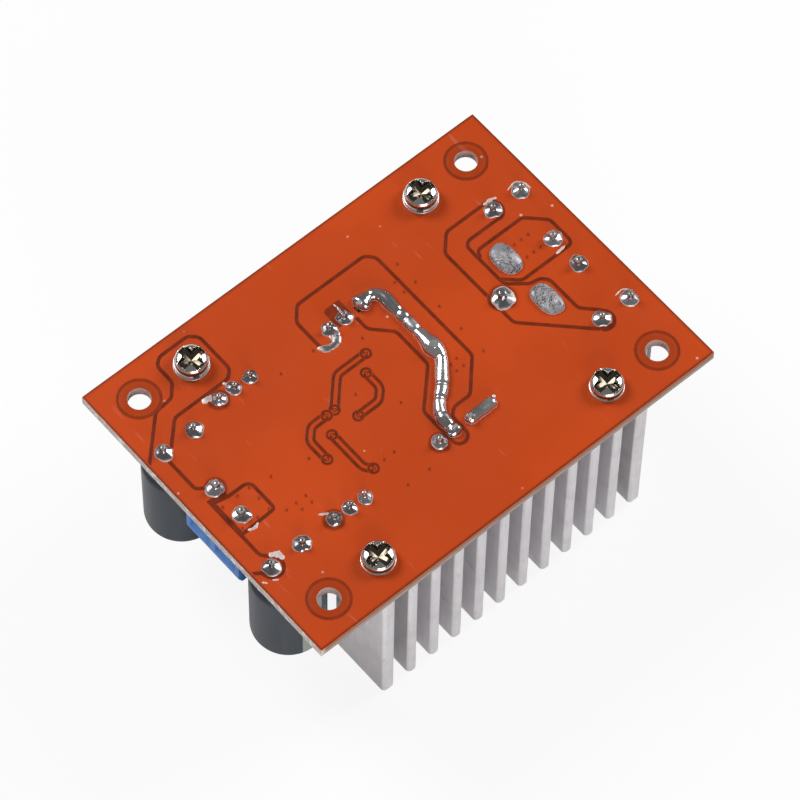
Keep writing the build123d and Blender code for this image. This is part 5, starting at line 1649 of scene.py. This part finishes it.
@dataclass
class SurfaceParts:
    """Small parts soldered flat on the component face."""

    def build(self, nodes: Nodes) -> None:
        """Rounds the chip cases and dresses leads, resistors, lamp and shunt."""
        epoxy = MouldedFinish("chip_epoxy", (0.026, 0.026, 0.028), (0.016, 0.016, 0.018), 0.6).material()
        glass = MouldedFinish("chip_glass_coat", (0.030, 0.028, 0.030), (0.10, 0.09, 0.08), 0.35).material()
        resin = MouldedFinish(
            "lamp_resin", (0.66, 0.56, 0.40), (0.58, 0.46, 0.30), 0.18, 700.0, 0.000006, (0.9, 0.9, 0.9), 0.05, 0.6
        ).material()
        alloy = MetalFinish("shunt_alloy", (0.60, 0.52, 0.46), (0.34, 0.28, 0.24), 0.38).material()
        plan = (
            ("controller_chip", "controller_chip_case", 0.08, epoxy, Slot.MOULDED),
            ("amplifier_chip", "amplifier_chip_case", 0.08, epoxy, Slot.MOULDED),
            ("chip_resistors", "chip_part_bodies", 0.05, glass, Slot.CERAMIC),
            ("indicator_led", "lamp_body", 0.06, resin, Slot.LENS),
            ("current_shunt", "shunt_strip", 0.1, alloy, Slot.SHUNT),
        )
        for node, name, edge, finish, slot in plan:
            cover(nodes, node, name, edge, finish)
        tin = MetalFinish("chip_tin", roughness=0.3).material()
        paint(nodes, tin, "controller_chip_leads", "amplifier_chip_leads")


@dataclass
class Studio:
    """Camera where the photo was taken from, pale floor, white backdrop and soft lamps.

    A lamp is its place in metres, the side of its square in metres and its watts.
    """

    camera_mm: Triple = (-217.8, -244.7, 607.9)
    camera_x: Triple = (0.75899, -0.65101, 0.01054)
    camera_y: Triple = (0.56480, 0.66636, 0.48679)
    camera_z: Triple = (-0.32393, -0.36352, 0.87345)
    focal: float = 231.15
    sensor: float = 36.0
    clip: Pair = (0.05, 10.0)
    lamps: tuple = (
        ((-0.20, 0.75, 0.75), 0.50, 8.0),
        ((0.85, -0.10, 0.60), 0.45, 6.0),
        ((-0.42, -0.90, 0.18), 0.60, 8.0),
    )
    sky: float = 0.18
    floor_half: float = 1.5
    floor_z: float = -0.0002
    floor_tones: tuple = ((0.83, 0.83, 0.83), (0.86, 0.86, 0.86))
    floor_glow: float = 0.88

    def camera(self) -> None:
        """Places the camera that was solved from the board's corners."""
        data = bpy.data.cameras.new("photo_lens")
        data.lens, data.sensor_width = self.focal, self.sensor
        data.clip_start, data.clip_end = self.clip
        camera = linked("photo_camera", data)
        camera.rotation_mode = "QUATERNION"
        turn = Matrix((self.camera_x, self.camera_y, self.camera_z)).transposed()
        camera.rotation_quaternion = turn.to_quaternion()
        camera.location = Vector(self.camera_mm) * MM
        bpy.context.scene.camera = camera

    def light(self) -> None:
        """Hangs the square soft lamps, each facing the object."""
        for number, (place, size, power) in enumerate(self.lamps):
            data = bpy.data.lights.new(f"soft_lamp_{number}", "AREA")
            data.shape, data.size, data.energy = "SQUARE", size, power
            lamp = linked(f"soft_lamp_{number}", data)
            lamp.location = place
            lamp.rotation_mode = "QUATERNION"
            lamp.rotation_quaternion = Vector(place).to_track_quat("Z", "Y")

    def floor(self) -> None:
        """A pale floor that looks white to the camera, still takes a faint shadow and is clear from below."""
        material, book = new_material("pale_floor")
        matt = book.node("ShaderNodeBsdfDiffuse", inputs={"Color": book.blend(book.noise(2.0), *self.floor_tones)})
        glow = book.node("ShaderNodeEmission", inputs={"Strength": 1.0})
        rays = book.node("ShaderNodeLightPath", output="Is Camera Ray")
        lit = book.node("ShaderNodeMixShader", inputs={0: rays * self.floor_glow, 1: matt, 2: glow})
        clear = book.node("ShaderNodeBsdfTransparent")
        behind = book.node("ShaderNodeNewGeometry", output="Backfacing")
        book.finish(book.node("ShaderNodeMixShader", inputs={0: behind, 1: lit, 2: clear}))
        side = np.linspace(-self.floor_half, self.floor_half, 5)
        x, y = np.meshgrid(side, side, indexing="ij")
        grid = np.stack([x, y, np.full_like(x, self.floor_z)], -1) / MM
        floor = Shell("studio_floor").add(grid).made(closed=False, flat_angle=None)
        floor.data.materials.append(material)

    def backdrop(self) -> None:
        """White to the camera, a plain grey fill for everything else."""
        world = bpy.data.worlds.new("white_room")
        world.use_nodes = True
        world.node_tree.nodes.clear()
        book = NodeBook(world.node_tree)
        white = (1.0, 1.0, 1.0, 1.0)
        seen, fill = (
            book.node("ShaderNodeBackground", inputs={"Strength": strength, "Color": white})
            for strength in (1.0, self.sky)
        )
        rays = book.node("ShaderNodeLightPath", output="Is Camera Ray")
        book.finish(book.node("ShaderNodeMixShader", inputs={0: rays, 1: fill, 2: seen}), "ShaderNodeOutputWorld")
        bpy.context.scene.world = world

    def build(self) -> None:
        """Sets up the whole studio."""
        self.camera()
        self.light()
        self.floor()
        self.backdrop()
        bpy.context.scene.view_settings.view_transform = "Standard"


def main() -> None:
    """Builds each part in order on the imported frame's nodes, then the studio."""
    logging.basicConfig(level=logging.INFO, format="%(levelname)s %(message)s")
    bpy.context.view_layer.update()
    nodes = frame["nodes"]
    BoardFace().build(nodes)
    SolderWork().build()
    SinkScrews().build()
    Heatsinks().build(nodes)
    PowerDevices().build(nodes)
    Capacitors().build(nodes)
    Inductor().build()
    Terminals().build(nodes)
    FuseHolder().build(nodes)
    Trimmers().build(nodes)
    SurfaceParts().build(nodes)
    Studio().build()


if __name__ == "__main__":
    main()
